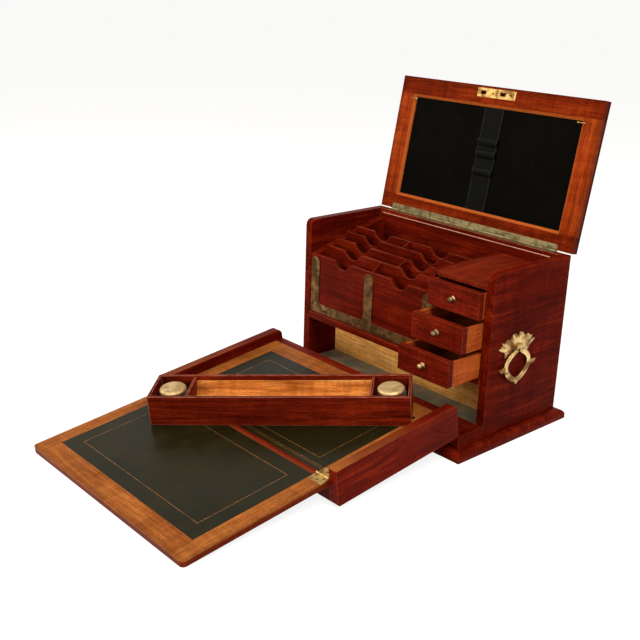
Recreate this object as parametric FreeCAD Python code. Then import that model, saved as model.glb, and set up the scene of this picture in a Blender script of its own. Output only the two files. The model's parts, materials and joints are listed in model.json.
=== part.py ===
"""A stationery cabinet with a fall-front writing slope, letter rack and drawers.

Millimetres, +Z up, +X to the right, +Y to the back.  The origin lies on the
table, under the middle of the cabinet.  The box stands open: lid up, fall
front down, hinged flap unfolded from it, pen tray lying across the slope and
the three drawers pulled out by different amounts.

Three frames are used.  The cabinet is drawn straight in the object's frame.
The lid is drawn shut and then turned about its hinge.  The fall front, the
flap and the pen tray are drawn on a level slope, with the hinge edge at
Y = 0, and then set on the fall's slope.
"""

import FreeCAD
import Part

import math
import os

Vector = FreeCAD.Vector
Rotation = FreeCAD.Rotation
Placement = FreeCAD.Placement

# ---------------------------------------------------------------- clearances
run_gap = 0.3            # between pieces that move past each other
pin_gap = 0.05           # around a hinge pin, on the radius
hinge_end_gap = 0.15     # between two knuckles on one pin
knuckle_room = 0.4       # around a knuckle, in the leaf and the wood beside it
leaf_gap = 0.4           # between a flap hinge's leaf and its axis
fall_edge_gap = 0.2      # between the shut fall's edge and the lid, beside run_gap
cap_lift_gap = 0.2       # between an inkwell's collar and its cap

# ------------------------------------------------------------------- cabinet
width = 370.0            # over the side panels
depth = 208.0            # base front to back
height = 243.0           # table to the top of the side panels
side_t = 12.5            # side panels
back_t = 12.0            # back board
shoulder_r = 10.0        # rounded front top corner of a side panel
plinth_h = 13.0          # plinth moulding
plinth_out = 12.5        # how far it stands out of the base
plinth_in = 15.0         # how far it reaches under the base
plinth_round = 8.0       # its ovolo edge
floor_t = 6.0            # floor of the bay, on the bottom board
ledge_z = 30.5           # top of the base front, where the fall stands when shut
ledge_t = 6.0            # ledge board
ledge_d = 48.5           # ledge depth, the same as the fall's thickness
rail_t = 12.0            # base front rail
bay_d = 57.5             # depth of the open bay behind the ledge
bay_back_t = 5.0         # pine board at the back of the bay
shelf_z = 87.0           # underside of the shelf over the bay
shelf_t = 10.0

# --------------------------------------------------------------- letter rack
cheek_t = 11.5           # left cheek
rack_w = 233.0           # clear width between cheek and partition
partition_t = 7.7        # between rack and drawers
rack_front_t = 5.0
divider_t = 3.5
rack_front_h = 94.0      # height of the rack front over the shelf
divider_1_step = 21.0    # behind the rack front's face
divider_2_step = 41.0
divider_3_step = 61.0
divider_4_step = 82.0
divider_1_rise = 106.0   # height over the shelf
divider_2_rise = 114.0
divider_3_rise = 121.5
divider_4_rise = 127.0
notch_r = 18.0           # finger notch
notch_depth = 12.0
notch_round = 3.5
notch_offset = 59.0      # from the middle of the rack
letter_t = 2.0           # small partitions inside the slots
letter_offset = 32.0     # of the partition in the second slot, right of the middle
cheek_rise_mid = 115.0   # height of the cheek's curved top over the shelf, halfway
cheek_rise_back = 133.0  # and at the back

# ---------------------------------------------------------------- card frame
frame_t = 1.5            # brass plate on the rack front
frame_prong_w = 17.5
frame_strip_h = 14.5
frame_h = 88.0
frame_lift = 3.0         # above the top of the shelf
frame_corner_r = 5.0

# ------------------------------------------------------------- drawer stack
lining_t = 2.7           # right lining of the stack
drawer_h = 35.7
drawer_front_t = 9.0
drawer_side_t = 5.0
drawer_bottom_t = 3.0
drawer_lip = 1.5         # sides stop this far below the front's top
drawer_len = 132.0       # behind the front
dust_t = 4.8             # board between two drawers
top_gap = 2.3            # over the top drawer
stack_top_t = 6.0
stack_top_set = 3.5      # the top board stands back from the panels' edge
bottom_pull = 61.5       # how far each drawer is pulled out
middle_pull = 38.5
top_pull = 10.5
knob_r = 4.0             # widest part of the ball
knob_ball_t = 6.4
knob_tip_r = 1.6         # where the ball's two cones are cut off
knob_neck_r = 1.8
knob_base_r = 4.6
knob_base_t = 1.2
knob_out = 8.4

# ----------------------------------------------------------------------- lid
lid_t = 12.0
lid_angle = 100.8        # how far the lid stands open
lid_gap = 0.3            # between the shut lid and the side panels
lid_border_x = 31.0
lid_border_front = 30.0
lid_border_back = 26.0
lid_bevel = 3.5
lid_panel_t = 6.0
leather_t = 1.0
strap_w = 37.0           # leather strap of the pen loops
strap_x = 1.5            # its middle
strap_t = 1.0
loop_low = 84.0          # middles of the three loops, from the hinge edge
loop_mid = 110.0
loop_high = 128.0
loop_w = 13.0
loop_rise = 2.6
loop_stitch = 1.6        # width of a loop's stitched foot
strike_w = 70.0          # strike plate
strike_h = 13.0
strike_t = 1.2
lock_inset = 10.0        # from the outer face of the fall to the lock's middle
lock_x = 2.0             # the lock sits a little right of the middle
bolt_w = 8.0
bolt_t = 3.2
left_bolt_x = -28.0      # from the lock's middle
right_bolt_x = 8.0
left_screw_x = -6.0
right_screw_x = 26.0
screw_r = 1.6
bolt_side_room = 1.0     # around a bolt, in the strike plate
bolt_room_up = 8.0       # depth of its hole in the lid's frame
lock_case_depth = 11.0   # behind the fall's front edge
lock_case_side = 4.0     # the case is this much shorter than the plate at each end
lock_case_below = 3.0    # under the lock's middle
lock_case_above = 5.0
bolt_hook_len = 8.0
bolt_bar_w = 2.0
bolt_throw = 5.0
bolt_gap = 0.25

# --------------------------------------------------------- lid piano hinge
piano_len = 320.0
piano_leaf = 8.0
piano_leaf_t = 0.8
piano_r = 2.0
piano_pin_r = 0.9
piano_out = 1.2          # axis behind the back board
piano_count = 7

# ---------------------------------------------------------------- fall front
fall_h = 48.5            # thickness over the side walls
fall_wall_t = 13.0
fall_board_t = 7.0
fall_rail_t = 13.0
surface_q = 33.0         # writing surface over the outer face
surface_t = 6.0
wall_round = 9.0
fall_edge_r = 3.0        # rounded outer edge, at the flap
fall_axis_out = 1.3      # hinge axis in front of the base
fall_axis_drop = 0.3     # and below the ledge
fall_pin_r = 1.0
fall_knuckle_r = 2.0
fall_leaf = 14.0
fall_leaf_t = 1.0
fall_web_up = 1.5        # the web that joins leaf and knuckle reaches this far up the edge
fall_hinge_w = 50.0
fall_hinge_x = 120.0
pad_x = 149.0            # half width of the leather
pad_back = 41.0          # bare border at the hinge edge
pad_front = 3.0          # bare border at the flap
pad_t = 0.8

escutcheon_r = 6.0       # around the keyhole, in the outer face
escutcheon_t = 1.0
keyhole_r = 1.8
keyhole_drop = 4.5       # length of the keyhole's slot
keyhole_slot = 1.6
catch_w = 10.0           # brass catch plate let into the writing surface
catch_l = 7.0
catch_t = 1.0
catch_x = 158.0
catch_s = 163.0

# ---------------------------------------------------------------------- flap
flap_t = 9.3
flap_len = 208.5
flap_near = 5.0          # bare border at the hinge edge
flap_far = 30.0          # bare border at the free edge
flap_lift = 0.4          # free edge over the table
flap_axis_up = 0.6       # hinge axis over the writing surface
flap_knuckle_r = 1.7
flap_pin_r = 0.8
flap_leaf = 14.0
flap_leaf_t = 1.0
flap_hinge_w = 22.0
flap_corner_r = 6.0      # free corners

# ------------------------------------------------------------------ pen tray
tray_len = 344.0
tray_w = 63.0
tray_h = 42.0
tray_wall = 3.6
tray_floor = 3.0
tray_turn = 41.4         # how it lies on the slope
tray_x = 10.5            # its middle
tray_s = 150.0
well_len = 46.0
tray_partition_t = 3.0
tray_partition_drop = 2.0
trough_drop = 7.0        # trough top under the rim
trough_r = 26.0
trough_floor = 7.0

# ------------------------------------------------------------------ inkwells
bottle_w = 38.0
bottle_h = 22.0
bottle_corner_r = 3.0
bottle_base_t = 3.0
collar_r = 15.0
collar_seat = 0.5        # how far the collar reaches into the glass
collar_h = 31.0          # over the tray's floor
bottle_bore = 11.5
cap_r = 18.0
cap_h = 5.5
cap_crown = 2.2
cap_axis = 20.2          # hinge axis behind the bottle's middle
cap_knuckle_r = 1.5
cap_pin_r = 0.7
cap_knuckle_w = 6.0
cap_lug_in = 2.0         # how far the cap's lug reaches into its disc
cap_lug_top = 1.0        # over the hinge axis
cap_ear_t = 2.0
cap_ear_in = 3.0         # how far an ear reaches into the collar
cap_ear_h = 3.0

# ------------------------------------------------------------- side handles
handle_z = 138.0
plate_t = 1.6
plate_w = 74.0
plate_mid_top = 10.5     # the plate's outline: heights over the handle's middle
plate_crest_z = 16.0
plate_dip_z = 10.0
plate_wing_z = 10.5
plate_tip_z = 0.5
plate_barb_z = -14.5
plate_notch_z = -7.0
plate_mid_foot = -10.5
plate_crest_y = 5.5      # and places along the side panel
plate_dip_y = 14.0
plate_wing_y = 23.0
plate_notch_y = 15.5
plate_swells = (0.8, 1.4, -1.4, -1.2, -1.8, 1.4, -1.2)  # how far each leg curves out
bail_t = 3.6
bail_w = 70.0
bail_drop = 52.0
bail_shoulder_y = 19.0   # the ring's outline, from its pin
bail_shoulder_drop = 9.0
bail_wide_drop = 26.0
bail_cusp_y = 23.0
bail_cusp_drop = 33.0
bail_bar = 9.0           # width of the ring's bottom
bail_in_shoulder_y = 17.0
bail_in_shoulder_drop = 15.0
bail_in_wide_y = 24.0
bail_in_cusp_y = 20.0
bail_in_cusp_drop = 32.0
bail_outer_swells = (-3.0, -1.5, 1.0, -2.5)
bail_inner_swells = (-1.5, -1.0, 0.5, -1.0)
bail_axis_z = -3.0       # from the handle's middle
bail_eye_r = 3.0
bail_eye_w = 8.0
bail_pin_r = 1.2
ear_t = 2.6

# ------------------------------------------------------------ derived places
front = -depth / 2
back = depth / 2
half = width / 2
inner = half - side_t
carcass_y = front + ledge_d
back_y = back - back_t
floor_z = plinth_h + floor_t
shelf_top = shelf_z + shelf_t
rack_left = -inner + cheek_t
rack_right = rack_left + rack_w
rack_mid = (rack_left + rack_right) / 2
rack_y = carcass_y + frame_t
bay_y = carcass_y + bay_d
stack_left = rack_right + partition_t
stack_right = inner - lining_t
drawer_left = stack_left + run_gap
drawer_right = stack_right - run_gap
drawer_mid = (drawer_left + drawer_right) / 2
drawer_pitch = drawer_h + dust_t + 2 * run_gap
stack_top_z = shelf_top + 3 * drawer_pitch - dust_t + top_gap
lid_z = height + lid_gap
lid_axis = Vector(0, back + piano_out, height + lid_gap / 2)
fall_len = height - ledge_z - run_gap - fall_edge_gap
fall_inner = half - fall_wall_t
flap_half = fall_inner - 2 * run_gap
flap_hinge_s = fall_len + run_gap
flap_start = fall_len + 2 * run_gap
flap_end = flap_start + flap_len
flap_q = surface_q - flap_t
bail_axis_out = plate_t + bail_eye_r + run_gap
divider_steps = (divider_1_step, divider_2_step, divider_3_step, divider_4_step)
divider_rises = (divider_1_rise, divider_2_rise, divider_3_rise, divider_4_rise)
drawer_pulls = (bottom_pull, middle_pull, top_pull)
loop_middles = (loop_low, loop_mid, loop_high)
bolt_xs = (left_bolt_x, right_bolt_x)
screw_xs = (left_screw_x, right_screw_x)


# ------------------------------------------------------------------- helpers
def box(x0, x1, y0, y1, z0, z1):
    """A box between two corners."""
    low = Vector(min(x0, x1), min(y0, y1), min(z0, z1))
    return Part.makeBox(abs(x1 - x0), abs(y1 - y0), abs(z1 - z0), low)


def slope_box(x0, x1, s0, s1, q0, q1):
    """A box on the level slope: s runs forward from the hinge edge, q up."""
    return box(x0, x1, -s1, -s0, q0, q1)


def rod(radius, start, end, across=0.0, up=0.0, along="x"):
    """A round bar along an axis, from start to end."""
    bases = {
        "x": (Vector(start, across, up), Vector(1, 0, 0)),
        "y": (Vector(across, start, up), Vector(0, 1, 0)),
        "z": (Vector(across, up, start), Vector(0, 0, 1)),
    }
    base, direction = bases[along]
    return Part.makeCylinder(radius, end - start, base, direction)


def prism(points, direction):
    """A prism on a closed outline of points or ready edges."""
    edges = []
    for here, there in zip(points, points[1:] + points[:1]):
        edges.append(Part.makeLine(here, there))
    return Part.Face(Part.Wire(edges)).extrude(direction)


def cut_all(shape, tools):
    """The shape with each tool cut away."""
    for tool in tools:
        shape = shape.cut(tool)
    return shape


def fuse_all(shapes):
    """The shapes joined into one clean solid."""
    whole = shapes[0]
    for shape in shapes[1:]:
        whole = whole.fuse(shape)
    return whole.removeSplitter()


def edges_at(shape, test):
    """The shape's edges whose middle passes a test."""
    found = []
    for edge in shape.Edges:
        first, last = edge.ParameterRange
        if test(edge.valueAt((first + last) / 2), edge):
            found.append(edge)
    return found


def near(value, target):
    """Whether two lengths agree."""
    return abs(value - target) < 0.01


def mirror_x(shape):
    """The shape's mirror image across the middle of the cabinet."""
    return shape.mirror(Vector(0, 0, 0), Vector(1, 0, 0))


def placed(shape, placement):
    """The shape moved by a placement."""
    moved = shape.copy()
    moved.Placement = placement.multiply(moved.Placement)
    return moved


parts = {}


def add(name, *shapes):
    """Keep one node: a single solid, or a group of separate ones."""
    parts[name] = shapes[0] if len(shapes) == 1 else Part.makeCompound(list(shapes))


# --------------------------------------------------------------- the frames
def turned_lid(shape):
    """A piece of the shut lid, turned open about the lid's hinge."""
    return placed(shape, Placement(Vector(0, 0, 0), Rotation(Vector(1, 0, 0), -lid_angle), lid_axis))


def slope_angle():
    """The slope at which the unfolded flap's free edge just clears the table."""
    reach = math.hypot(flap_end, flap_q)
    drop = fall_origin_z - flap_lift
    return math.degrees(math.asin(drop / reach) + math.atan2(flap_q, flap_end))


fall_origin_y = front - fall_axis_out - 0.6
fall_origin_z = ledge_z + fall_axis_out - fall_axis_drop
fall_slope = slope_angle()
fall_frame = Placement(Vector(0, fall_origin_y, fall_origin_z), Rotation(Vector(1, 0, 0), fall_slope))
tray_frame = fall_frame.multiply(
    Placement(Vector(tray_x, -tray_s, surface_q + run_gap), Rotation(Vector(0, 0, 1), tray_turn))
)


def on_slope(shape):
    """A piece drawn on the level slope, set on the fall's slope."""
    return placed(shape, fall_frame)


def on_tray(shape):
    """A piece drawn on the level pen tray, set where the tray lies."""
    return placed(shape, tray_frame)


# ---------------------------------------------------------------- the carcass
def side_panel():
    """Right side panel: stepped forward at the base, with a rounded shoulder."""
    outline = [
        Vector(inner, front, plinth_h),
        Vector(inner, front, ledge_z),
        Vector(inner, carcass_y, ledge_z),
        Vector(inner, carcass_y, height),
        Vector(inner, back, height),
        Vector(inner, back, plinth_h),
    ]
    panel = prism(outline, Vector(side_t, 0, 0))
    shoulder = edges_at(panel, lambda p, e: near(p.y, carcass_y) and near(p.z, height))
    return panel.makeFillet(shoulder_r, shoulder)


def plinth():
    """Four mitred mouldings with an ovolo edge, under and around the base."""
    out_x, out_f, out_b = half + plinth_out, front - plinth_out, back + plinth_out
    solid = box(-out_x, out_x, out_f, out_b, 0, plinth_h)
    top_edges = edges_at(solid, lambda p, e: near(p.z, plinth_h))
    solid = solid.makeFillet(plinth_round, top_edges)
    in_x, in_f, in_b = half - plinth_in, front + plinth_in, back - plinth_in
    ring = solid.cut(box(-in_x, in_x, in_f, in_b, -1, plinth_h + 1))
    corners = [(out_x, out_f), (out_x, out_b), (-out_x, out_b), (-out_x, out_f)]
    inside = [(in_x, in_f), (in_x, in_b), (-in_x, in_b), (-in_x, in_f)]
    mouldings = []
    for n in range(4):
        m = (n + 1) % 4
        outline = [Vector(*p, -1) for p in (corners[n], corners[m], inside[m], inside[n])]
        mouldings.append(ring.common(prism(outline, Vector(0, 0, plinth_h + 2))))
    return mouldings


def carcass():
    """The plinth, the side panels and the boards between them."""
    add("plinth_mouldings", *plinth())
    right = side_panel()
    add("right_side_panel", right)
    add("left_side_panel", mirror_x(right))
    in_x, in_y = half - plinth_in, back - plinth_in
    add("bottom_board", box(-in_x, in_x, -in_y, in_y, 0, plinth_h))
    add("bay_floor", box(-inner, inner, front + rail_t, back_y, plinth_h, floor_z))
    add("base_front_rail", box(-inner, inner, front, front + rail_t, plinth_h, ledge_z - ledge_t))
    ledge = box(-inner, inner, front, carcass_y, ledge_z - ledge_t, ledge_z)
    ledge = cut_all(ledge, [hinge_leaf_pocket(side) for side in (-1, 1)])
    add("ledge_board", ledge)
    board = box(-inner, inner, back_y, back, plinth_h, height)
    board = board.cut(piano_relief())
    board = board.cut(box(-piano_len / 2, piano_len / 2, back - piano_leaf, back + 1,
                          height - piano_leaf_t + lid_gap / 2, height + 1))
    add("back_board", board)
    add("bay_back_panel", box(-inner, inner, bay_y, bay_y + bay_back_t, floor_z, shelf_z))
    add("rack_shelf", box(-inner, inner, carcass_y, back_y, shelf_z, shelf_top))


# ------------------------------------------------------------ the letter rack
def notched_board(y0, thick, rise):
    """A rack board whose top edge has two finger notches."""
    top = shelf_top + rise
    board = box(rack_left, rack_right, y0, y0 + thick, shelf_top, top)
    centre_z = top + notch_r - notch_depth
    reach = math.sqrt(notch_r ** 2 - (notch_r - notch_depth) ** 2)
    for side in (-1, 1):
        x = rack_mid + side * notch_offset
        board = board.cut(rod(notch_r, y0 - 1, y0 + thick + 1, x, centre_z, "y"))
    corners = [rack_mid + s * notch_offset + t * reach for s in (-1, 1) for t in (-1, 1)]
    lips = edges_at(board, lambda p, e: near(p.z, top) and any(near(p.x, c) for c in corners))
    return board.makeFillet(notch_round, lips)


def letter_partition(x, y0, y1, rise0, rise1):
    """A thin partition across one slot, its top following the boards."""
    outline = [
        Vector(x, y0, shelf_top),
        Vector(x, y0, shelf_top + rise0),
        Vector(x, y1, shelf_top + rise1),
        Vector(x, y1, shelf_top),
    ]
    return prism(outline, Vector(letter_t, 0, 0))


def left_cheek():
    """The rack's left cheek, whose top edge climbs in a curve."""
    low = Vector(-inner, rack_y, shelf_top + rack_front_h)
    mid = Vector(-inner, (rack_y + back_y) / 2, shelf_top + cheek_rise_mid)
    high = Vector(-inner, back_y, shelf_top + cheek_rise_back)
    foot_front = Vector(-inner, rack_y, shelf_top)
    foot_back = Vector(-inner, back_y, shelf_top)
    edges = [
        Part.Arc(low, mid, high).toShape(),
        Part.makeLine(high, foot_back),
        Part.makeLine(foot_back, foot_front),
        Part.makeLine(foot_front, low),
    ]
    return Part.Face(Part.Wire(edges)).extrude(Vector(cheek_t, 0, 0))


def letter_rack():
    """Cheek, front, stepped dividers, small partitions and the drawers' wall."""
    add("rack_left_cheek", left_cheek())
    add("rack_front_panel", notched_board(rack_y, rack_front_t, rack_front_h))
    for n, (step, rise) in enumerate(zip(divider_steps, divider_rises), start=1):
        add(f"rack_divider_{n}", notched_board(rack_y + step, divider_t, rise))
    walls = [rack_y + rack_front_t]
    for step in divider_steps:
        walls.append(rack_y + step)
    lows = (rack_front_h,) + divider_rises
    first = letter_partition(rack_mid, walls[0], walls[1], lows[0], lows[1])
    second = letter_partition(rack_mid + letter_offset, walls[1] + divider_t, walls[2], lows[1], lows[2])
    fourth = letter_partition(rack_mid, walls[3] + divider_t, walls[4], lows[3], lows[4])
    add("rack_letter_partitions", first, second, fourth)
    top = stack_top_z + stack_top_t
    add("rack_stack_partition", box(rack_right, stack_left, rack_y, back_y, shelf_top, top))


def card_frame():
    """The brass plate on the rack front: a strip with three round-topped prongs."""
    low = shelf_top + frame_lift
    centres = (rack_left, rack_mid, stack_left - run_gap - frame_prong_w / 2)
    left = centres[0] - frame_prong_w / 2
    right = centres[2] + frame_prong_w / 2
    y0, y1 = carcass_y, rack_y
    pieces = [box(left, right, y0, y1, low, low + frame_strip_h)]
    for x in centres:
        crown = low + frame_h - frame_prong_w / 2
        pieces.append(box(x - frame_prong_w / 2, x + frame_prong_w / 2, y0, y1, low, crown))
        pieces.append(rod(frame_prong_w / 2, y0, y1, x, crown, "y"))
    plate = fuse_all(pieces)
    strip_top = low + frame_strip_h
    inside = edges_at(plate, lambda p, e: near(p.z, strip_top) and near(e.Length, frame_t))
    add("brass_card_frame", plate.makeFillet(frame_corner_r, inside))


# ----------------------------------------------------------- the drawer stack
def stack_frame():
    """The lining, the boards between the drawers and the board on top."""
    top = stack_top_z + stack_top_t
    boards = [box(stack_right, inner, rack_y, back_y, shelf_top, top)]
    for n in (1, 2):
        z = shelf_top + n * drawer_pitch - dust_t
        boards.append(box(stack_left, stack_right, rack_y, back_y, z, z + dust_t))
    add("stack_lining_and_dust_boards", *boards)
    y = carcass_y + stack_top_set
    add("stack_top_board", box(stack_left, stack_right, y, back_y, stack_top_z, top))


def cone(radius0, radius1, y0, y1, x, z):
    """A length of a turning about an axis along Y."""
    if near(radius0, radius1):
        return rod(radius0, y0, y1, x, z, "y")
    return Part.makeCone(radius0, radius1, y1 - y0, Vector(x, y0, z), Vector(0, 1, 0))


def knob(y, z):
    """A turned brass knob on a drawer front's face: a foot, a neck and a ball."""
    tip = y - knob_out
    middle = tip + knob_ball_t / 2
    ball_end = tip + knob_ball_t
    foot = y - knob_base_t
    return fuse_all([
        cone(knob_tip_r, knob_r, tip, middle, drawer_mid, z),
        cone(knob_r, knob_neck_r, middle, ball_end, drawer_mid, z),
        cone(knob_neck_r, knob_neck_r, ball_end, foot, drawer_mid, z),
        cone(knob_base_r, knob_base_r, foot, y, drawer_mid, z),
    ])


def drawers():
    """Three drawers: a front, a box of thin boards behind it, and a knob."""
    for n, pull in enumerate(drawer_pulls, start=1):
        y = carcass_y - pull
        z = shelf_top + run_gap + (n - 1) * drawer_pitch
        top = z + drawer_h - drawer_lip
        face = y + drawer_front_t
        end = face + drawer_len
        add(f"drawer_{n}_front", box(drawer_left, drawer_right, y, face, z, z + drawer_h))
        left = box(drawer_left, drawer_left + drawer_side_t, face, end, z, top)
        right = box(drawer_right - drawer_side_t, drawer_right, face, end, z, top)
        inside = (drawer_left + drawer_side_t, drawer_right - drawer_side_t)
        rear = box(*inside, end - drawer_side_t, end, z, top)
        bottom = box(*inside, face, end - drawer_side_t, z, z + drawer_bottom_t)
        add(f"drawer_{n}_box", left, right, rear, bottom)
        add(f"drawer_{n}_knob", knob(y, z + drawer_h / 2))


# --------------------------------------------------------------------- the lid
def lid_frame():
    """The lid's frame: a bevelled opening, pockets for plate and hinge."""
    body = box(-half, half, front, back, lid_z, lid_z + lid_t)
    x = half - lid_border_x
    y0, y1 = front + lid_border_front, back - lid_border_back
    body = body.cut(box(-x, x, y0, y1, lid_z - 1, lid_z + lid_t + 1))
    rim = edges_at(body, lambda p, e: near(p.z, lid_z) and abs(p.x) < x + 1 and y0 - 1 < p.y < y1 + 1)
    body = body.makeChamfer(lid_bevel, rim)
    body = body.cut(strike_outline(strike_t))
    body = body.cut(piano_relief())
    leaf_top = height + lid_gap / 2 + piano_leaf_t
    return body.cut(box(-piano_len / 2, piano_len / 2, back - piano_leaf, back + 1, lid_z - 1, leaf_top))


def strike_outline(depth_in):
    """The room of the strike plate in the lid's inner face."""
    y = front + lock_inset
    x0, x1 = lock_x - strike_w / 2, lock_x + strike_w / 2
    return box(x0, x1, y - strike_h / 2, y + strike_h / 2, lid_z, lid_z + depth_in)


def bolt_slot(x, z0, z1):
    """The room of one bolt hook in the lid, between two heights."""
    y = front + lock_inset
    x0, x1 = lock_x + x - bolt_side_room, lock_x + x + bolt_w + bolt_side_room
    reach = bolt_t / 2 + bolt_side_room
    return box(x0, x1, y - reach, y + reach, z0, z1)


def strike_plate():
    """The brass plate that the lock's bolts hook into."""
    y = front + lock_inset
    plate = strike_outline(strike_t)
    z0, z1 = lid_z - 1, lid_z + strike_t + 1
    plate = cut_all(plate, [bolt_slot(x, z0, z1) for x in bolt_xs])
    return cut_all(plate, [rod(screw_r, z0, z1, lock_x + x, y, "z") for x in screw_xs])


def bolt_room():
    """The holes in the lid's frame behind the strike plate's slots."""
    return [bolt_slot(x, lid_z + strike_t, lid_z + bolt_room_up) for x in bolt_xs]


def pen_loops():
    """A leather strap whose three arched loops hold pens, stitched down between."""
    leather_z = lid_z + lid_t - lid_panel_t - leather_t
    low = leather_z - strap_t
    x0, x1 = strap_x - strap_w / 2, strap_x + strap_w / 2
    pieces = [box(x0, x1, front + lid_border_front, back - lid_border_back, low, leather_z)]
    for place in loop_middles:
        y = back - place
        start, end = y - loop_w / 2, y + loop_w / 2
        arch = Part.Arc(Vector(x0, start, low), Vector(x0, y, low - loop_rise), Vector(x0, end, low))
        hollow = Part.Arc(
            Vector(x0, start + loop_stitch, low),
            Vector(x0, y, low - loop_rise + strap_t),
            Vector(x0, end - loop_stitch, low),
        )
        feet = [
            Part.makeLine(Vector(x0, end, low), Vector(x0, end - loop_stitch, low)),
            Part.makeLine(Vector(x0, start + loop_stitch, low), Vector(x0, start, low)),
        ]
        wire = Part.Wire([arch.toShape(), feet[0], hollow.toShape(), feet[1]])
        pieces.append(Part.Face(wire).extrude(Vector(strap_w, 0, 0)))
    return fuse_all(pieces)


def lid():
    """Frame, panel, leather, pen loops and strike plate."""
    add("lid_frame", turned_lid(cut_all(lid_frame(), bolt_room())))
    x = half - lid_border_x
    y0, y1 = front + lid_border_front, back - lid_border_back
    top = lid_z + lid_t
    add("lid_panel", turned_lid(box(-x, x, y0, y1, top - lid_panel_t, top)))
    leather_top = top - lid_panel_t
    add("lid_leather", turned_lid(box(-x, x, y0, y1, leather_top - leather_t, leather_top)))
    add("lid_pen_loops", turned_lid(pen_loops()))
    add("lid_strike_plate", turned_lid(strike_plate()))


# ----------------------------------------------------------- the piano hinge
def piano_relief():
    """The groove that the piano hinge's knuckles lie in."""
    radius = piano_r + run_gap
    return rod(radius, -piano_len / 2, piano_len / 2, lid_axis.y, lid_axis.z)


def piano_leaf_with(knuckles, top):
    """One leaf of the piano hinge with every second knuckle on it."""
    if top:
        z0, z1 = lid_axis.z + pin_gap, lid_axis.z + piano_leaf_t
    else:
        z0, z1 = lid_axis.z - piano_leaf_t, lid_axis.z - pin_gap
    leaf = box(-piano_len / 2, piano_len / 2, back - piano_leaf, lid_axis.y - piano_pin_r, z0, z1)
    pitch = piano_len / piano_count
    pieces = [leaf]
    for n in knuckles:
        x = -piano_len / 2 + n * pitch
        ends = (x + hinge_end_gap, x + pitch - hinge_end_gap)
        pieces.append(rod(piano_r, *ends, lid_axis.y, lid_axis.z))
        pieces.append(box(*ends, lid_axis.y - piano_r, lid_axis.y, z0, z1))
    body = fuse_all(pieces)
    hole = rod(piano_pin_r + pin_gap, -piano_len / 2 - 1, piano_len / 2 + 1, lid_axis.y, lid_axis.z)
    if top:
        body = body.cut(hole)
    else:
        body = body.fuse(rod(piano_pin_r, -piano_len / 2, piano_len / 2, lid_axis.y, lid_axis.z))
    rooms = []
    for n in range(piano_count):
        if n not in knuckles:
            x = -piano_len / 2 + n * pitch
            room = rod(piano_r + run_gap, x, x + pitch, lid_axis.y, lid_axis.z)
            if not top:
                room = room.cut(rod(piano_pin_r, x, x + pitch, lid_axis.y, lid_axis.z))
            rooms.append(room)
    return cut_all(body, rooms)


def piano_hinge():
    """The long brass hinge between the lid and the back board."""
    evens = [n for n in range(piano_count) if n % 2 == 0]
    odds = [n for n in range(piano_count) if n % 2 == 1]
    add("lid_hinge_back_leaf", piano_leaf_with(evens, False))
    add("lid_hinge_lid_leaf", turned_lid(piano_leaf_with(odds, True)))


# ------------------------------------------------------------- the fall front
def fall_axis():
    """The fall's hinge axis, as its place across and up."""
    return front - fall_axis_out, ledge_z - fall_axis_drop


def hinge_leaf_pocket(side):
    """The room of one fall hinge's leaf in the ledge."""
    x0, x1 = side * fall_hinge_x - fall_hinge_w / 2, side * fall_hinge_x + fall_hinge_w / 2
    y, z = fall_axis()
    pocket = box(x0, x1, front - 1, y + fall_leaf, ledge_z - fall_leaf_t, ledge_z + 1)
    return pocket.fuse(rod(fall_knuckle_r + run_gap, x0, x1, y, z))


def butt_base_leaf(side):
    """A fall hinge's leaf in the ledge, with the two outer knuckles and the pin."""
    x0 = side * fall_hinge_x - fall_hinge_w / 2
    x1 = x0 + fall_hinge_w
    y, z = fall_axis()
    third = fall_hinge_w / 3
    leaf = box(x0, x1, y, y + fall_leaf, ledge_z - fall_leaf_t, ledge_z)
    room = rod(fall_knuckle_r + knuckle_room, x0 + third, x1 - third, y, z)
    leaf = leaf.cut(room)
    outer = [
        rod(fall_knuckle_r, x0, x0 + third - hinge_end_gap, y, z),
        rod(fall_knuckle_r, x1 - third + hinge_end_gap, x1, y, z),
        rod(fall_pin_r, x0, x1, y, z),
    ]
    return fuse_all([leaf] + outer)


def butt_fall_leaf(side):
    """A fall hinge's leaf on the fall's hinge edge, with the middle knuckle."""
    x0 = side * fall_hinge_x - fall_hinge_w / 2
    x1 = x0 + fall_hinge_w
    third = fall_hinge_w / 3
    place = fall_frame.inverse().multVec(Vector(0, *fall_axis()))
    leaf = box(x0, x1, -fall_leaf_t, 0, 0, fall_leaf)
    room = [
        rod(fall_knuckle_r + knuckle_room, x0 - 1, x0 + third, place.y, place.z),
        rod(fall_knuckle_r + knuckle_room, x1 - third, x1 + 1, place.y, place.z),
    ]
    leaf = cut_all(leaf, room)
    ends = (x0 + third + hinge_end_gap, x1 - third - hinge_end_gap)
    web = box(*ends, -fall_leaf_t, place.y, place.z, fall_web_up)
    middle = rod(fall_knuckle_r, *ends, place.y, place.z)
    body = fuse_all([leaf, web, middle])
    return on_slope(body.cut(rod(fall_pin_r + pin_gap, x0 - 1, x1 + 1, place.y, place.z)))


def hinge_edge_rooms():
    """Pockets for the fall hinges' leaves in the fall's hinge edge."""
    rooms = []
    place = fall_frame.inverse().multVec(Vector(0, *fall_axis()))
    for side in (-1, 1):
        x0, x1 = side * fall_hinge_x - fall_hinge_w / 2, side * fall_hinge_x + fall_hinge_w / 2
        rooms.append(box(x0, x1, -fall_leaf_t, 1, -1, fall_leaf))
        rooms.append(rod(fall_knuckle_r + knuckle_room + pin_gap, x0, x1, place.y, place.z))
    return rooms


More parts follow.
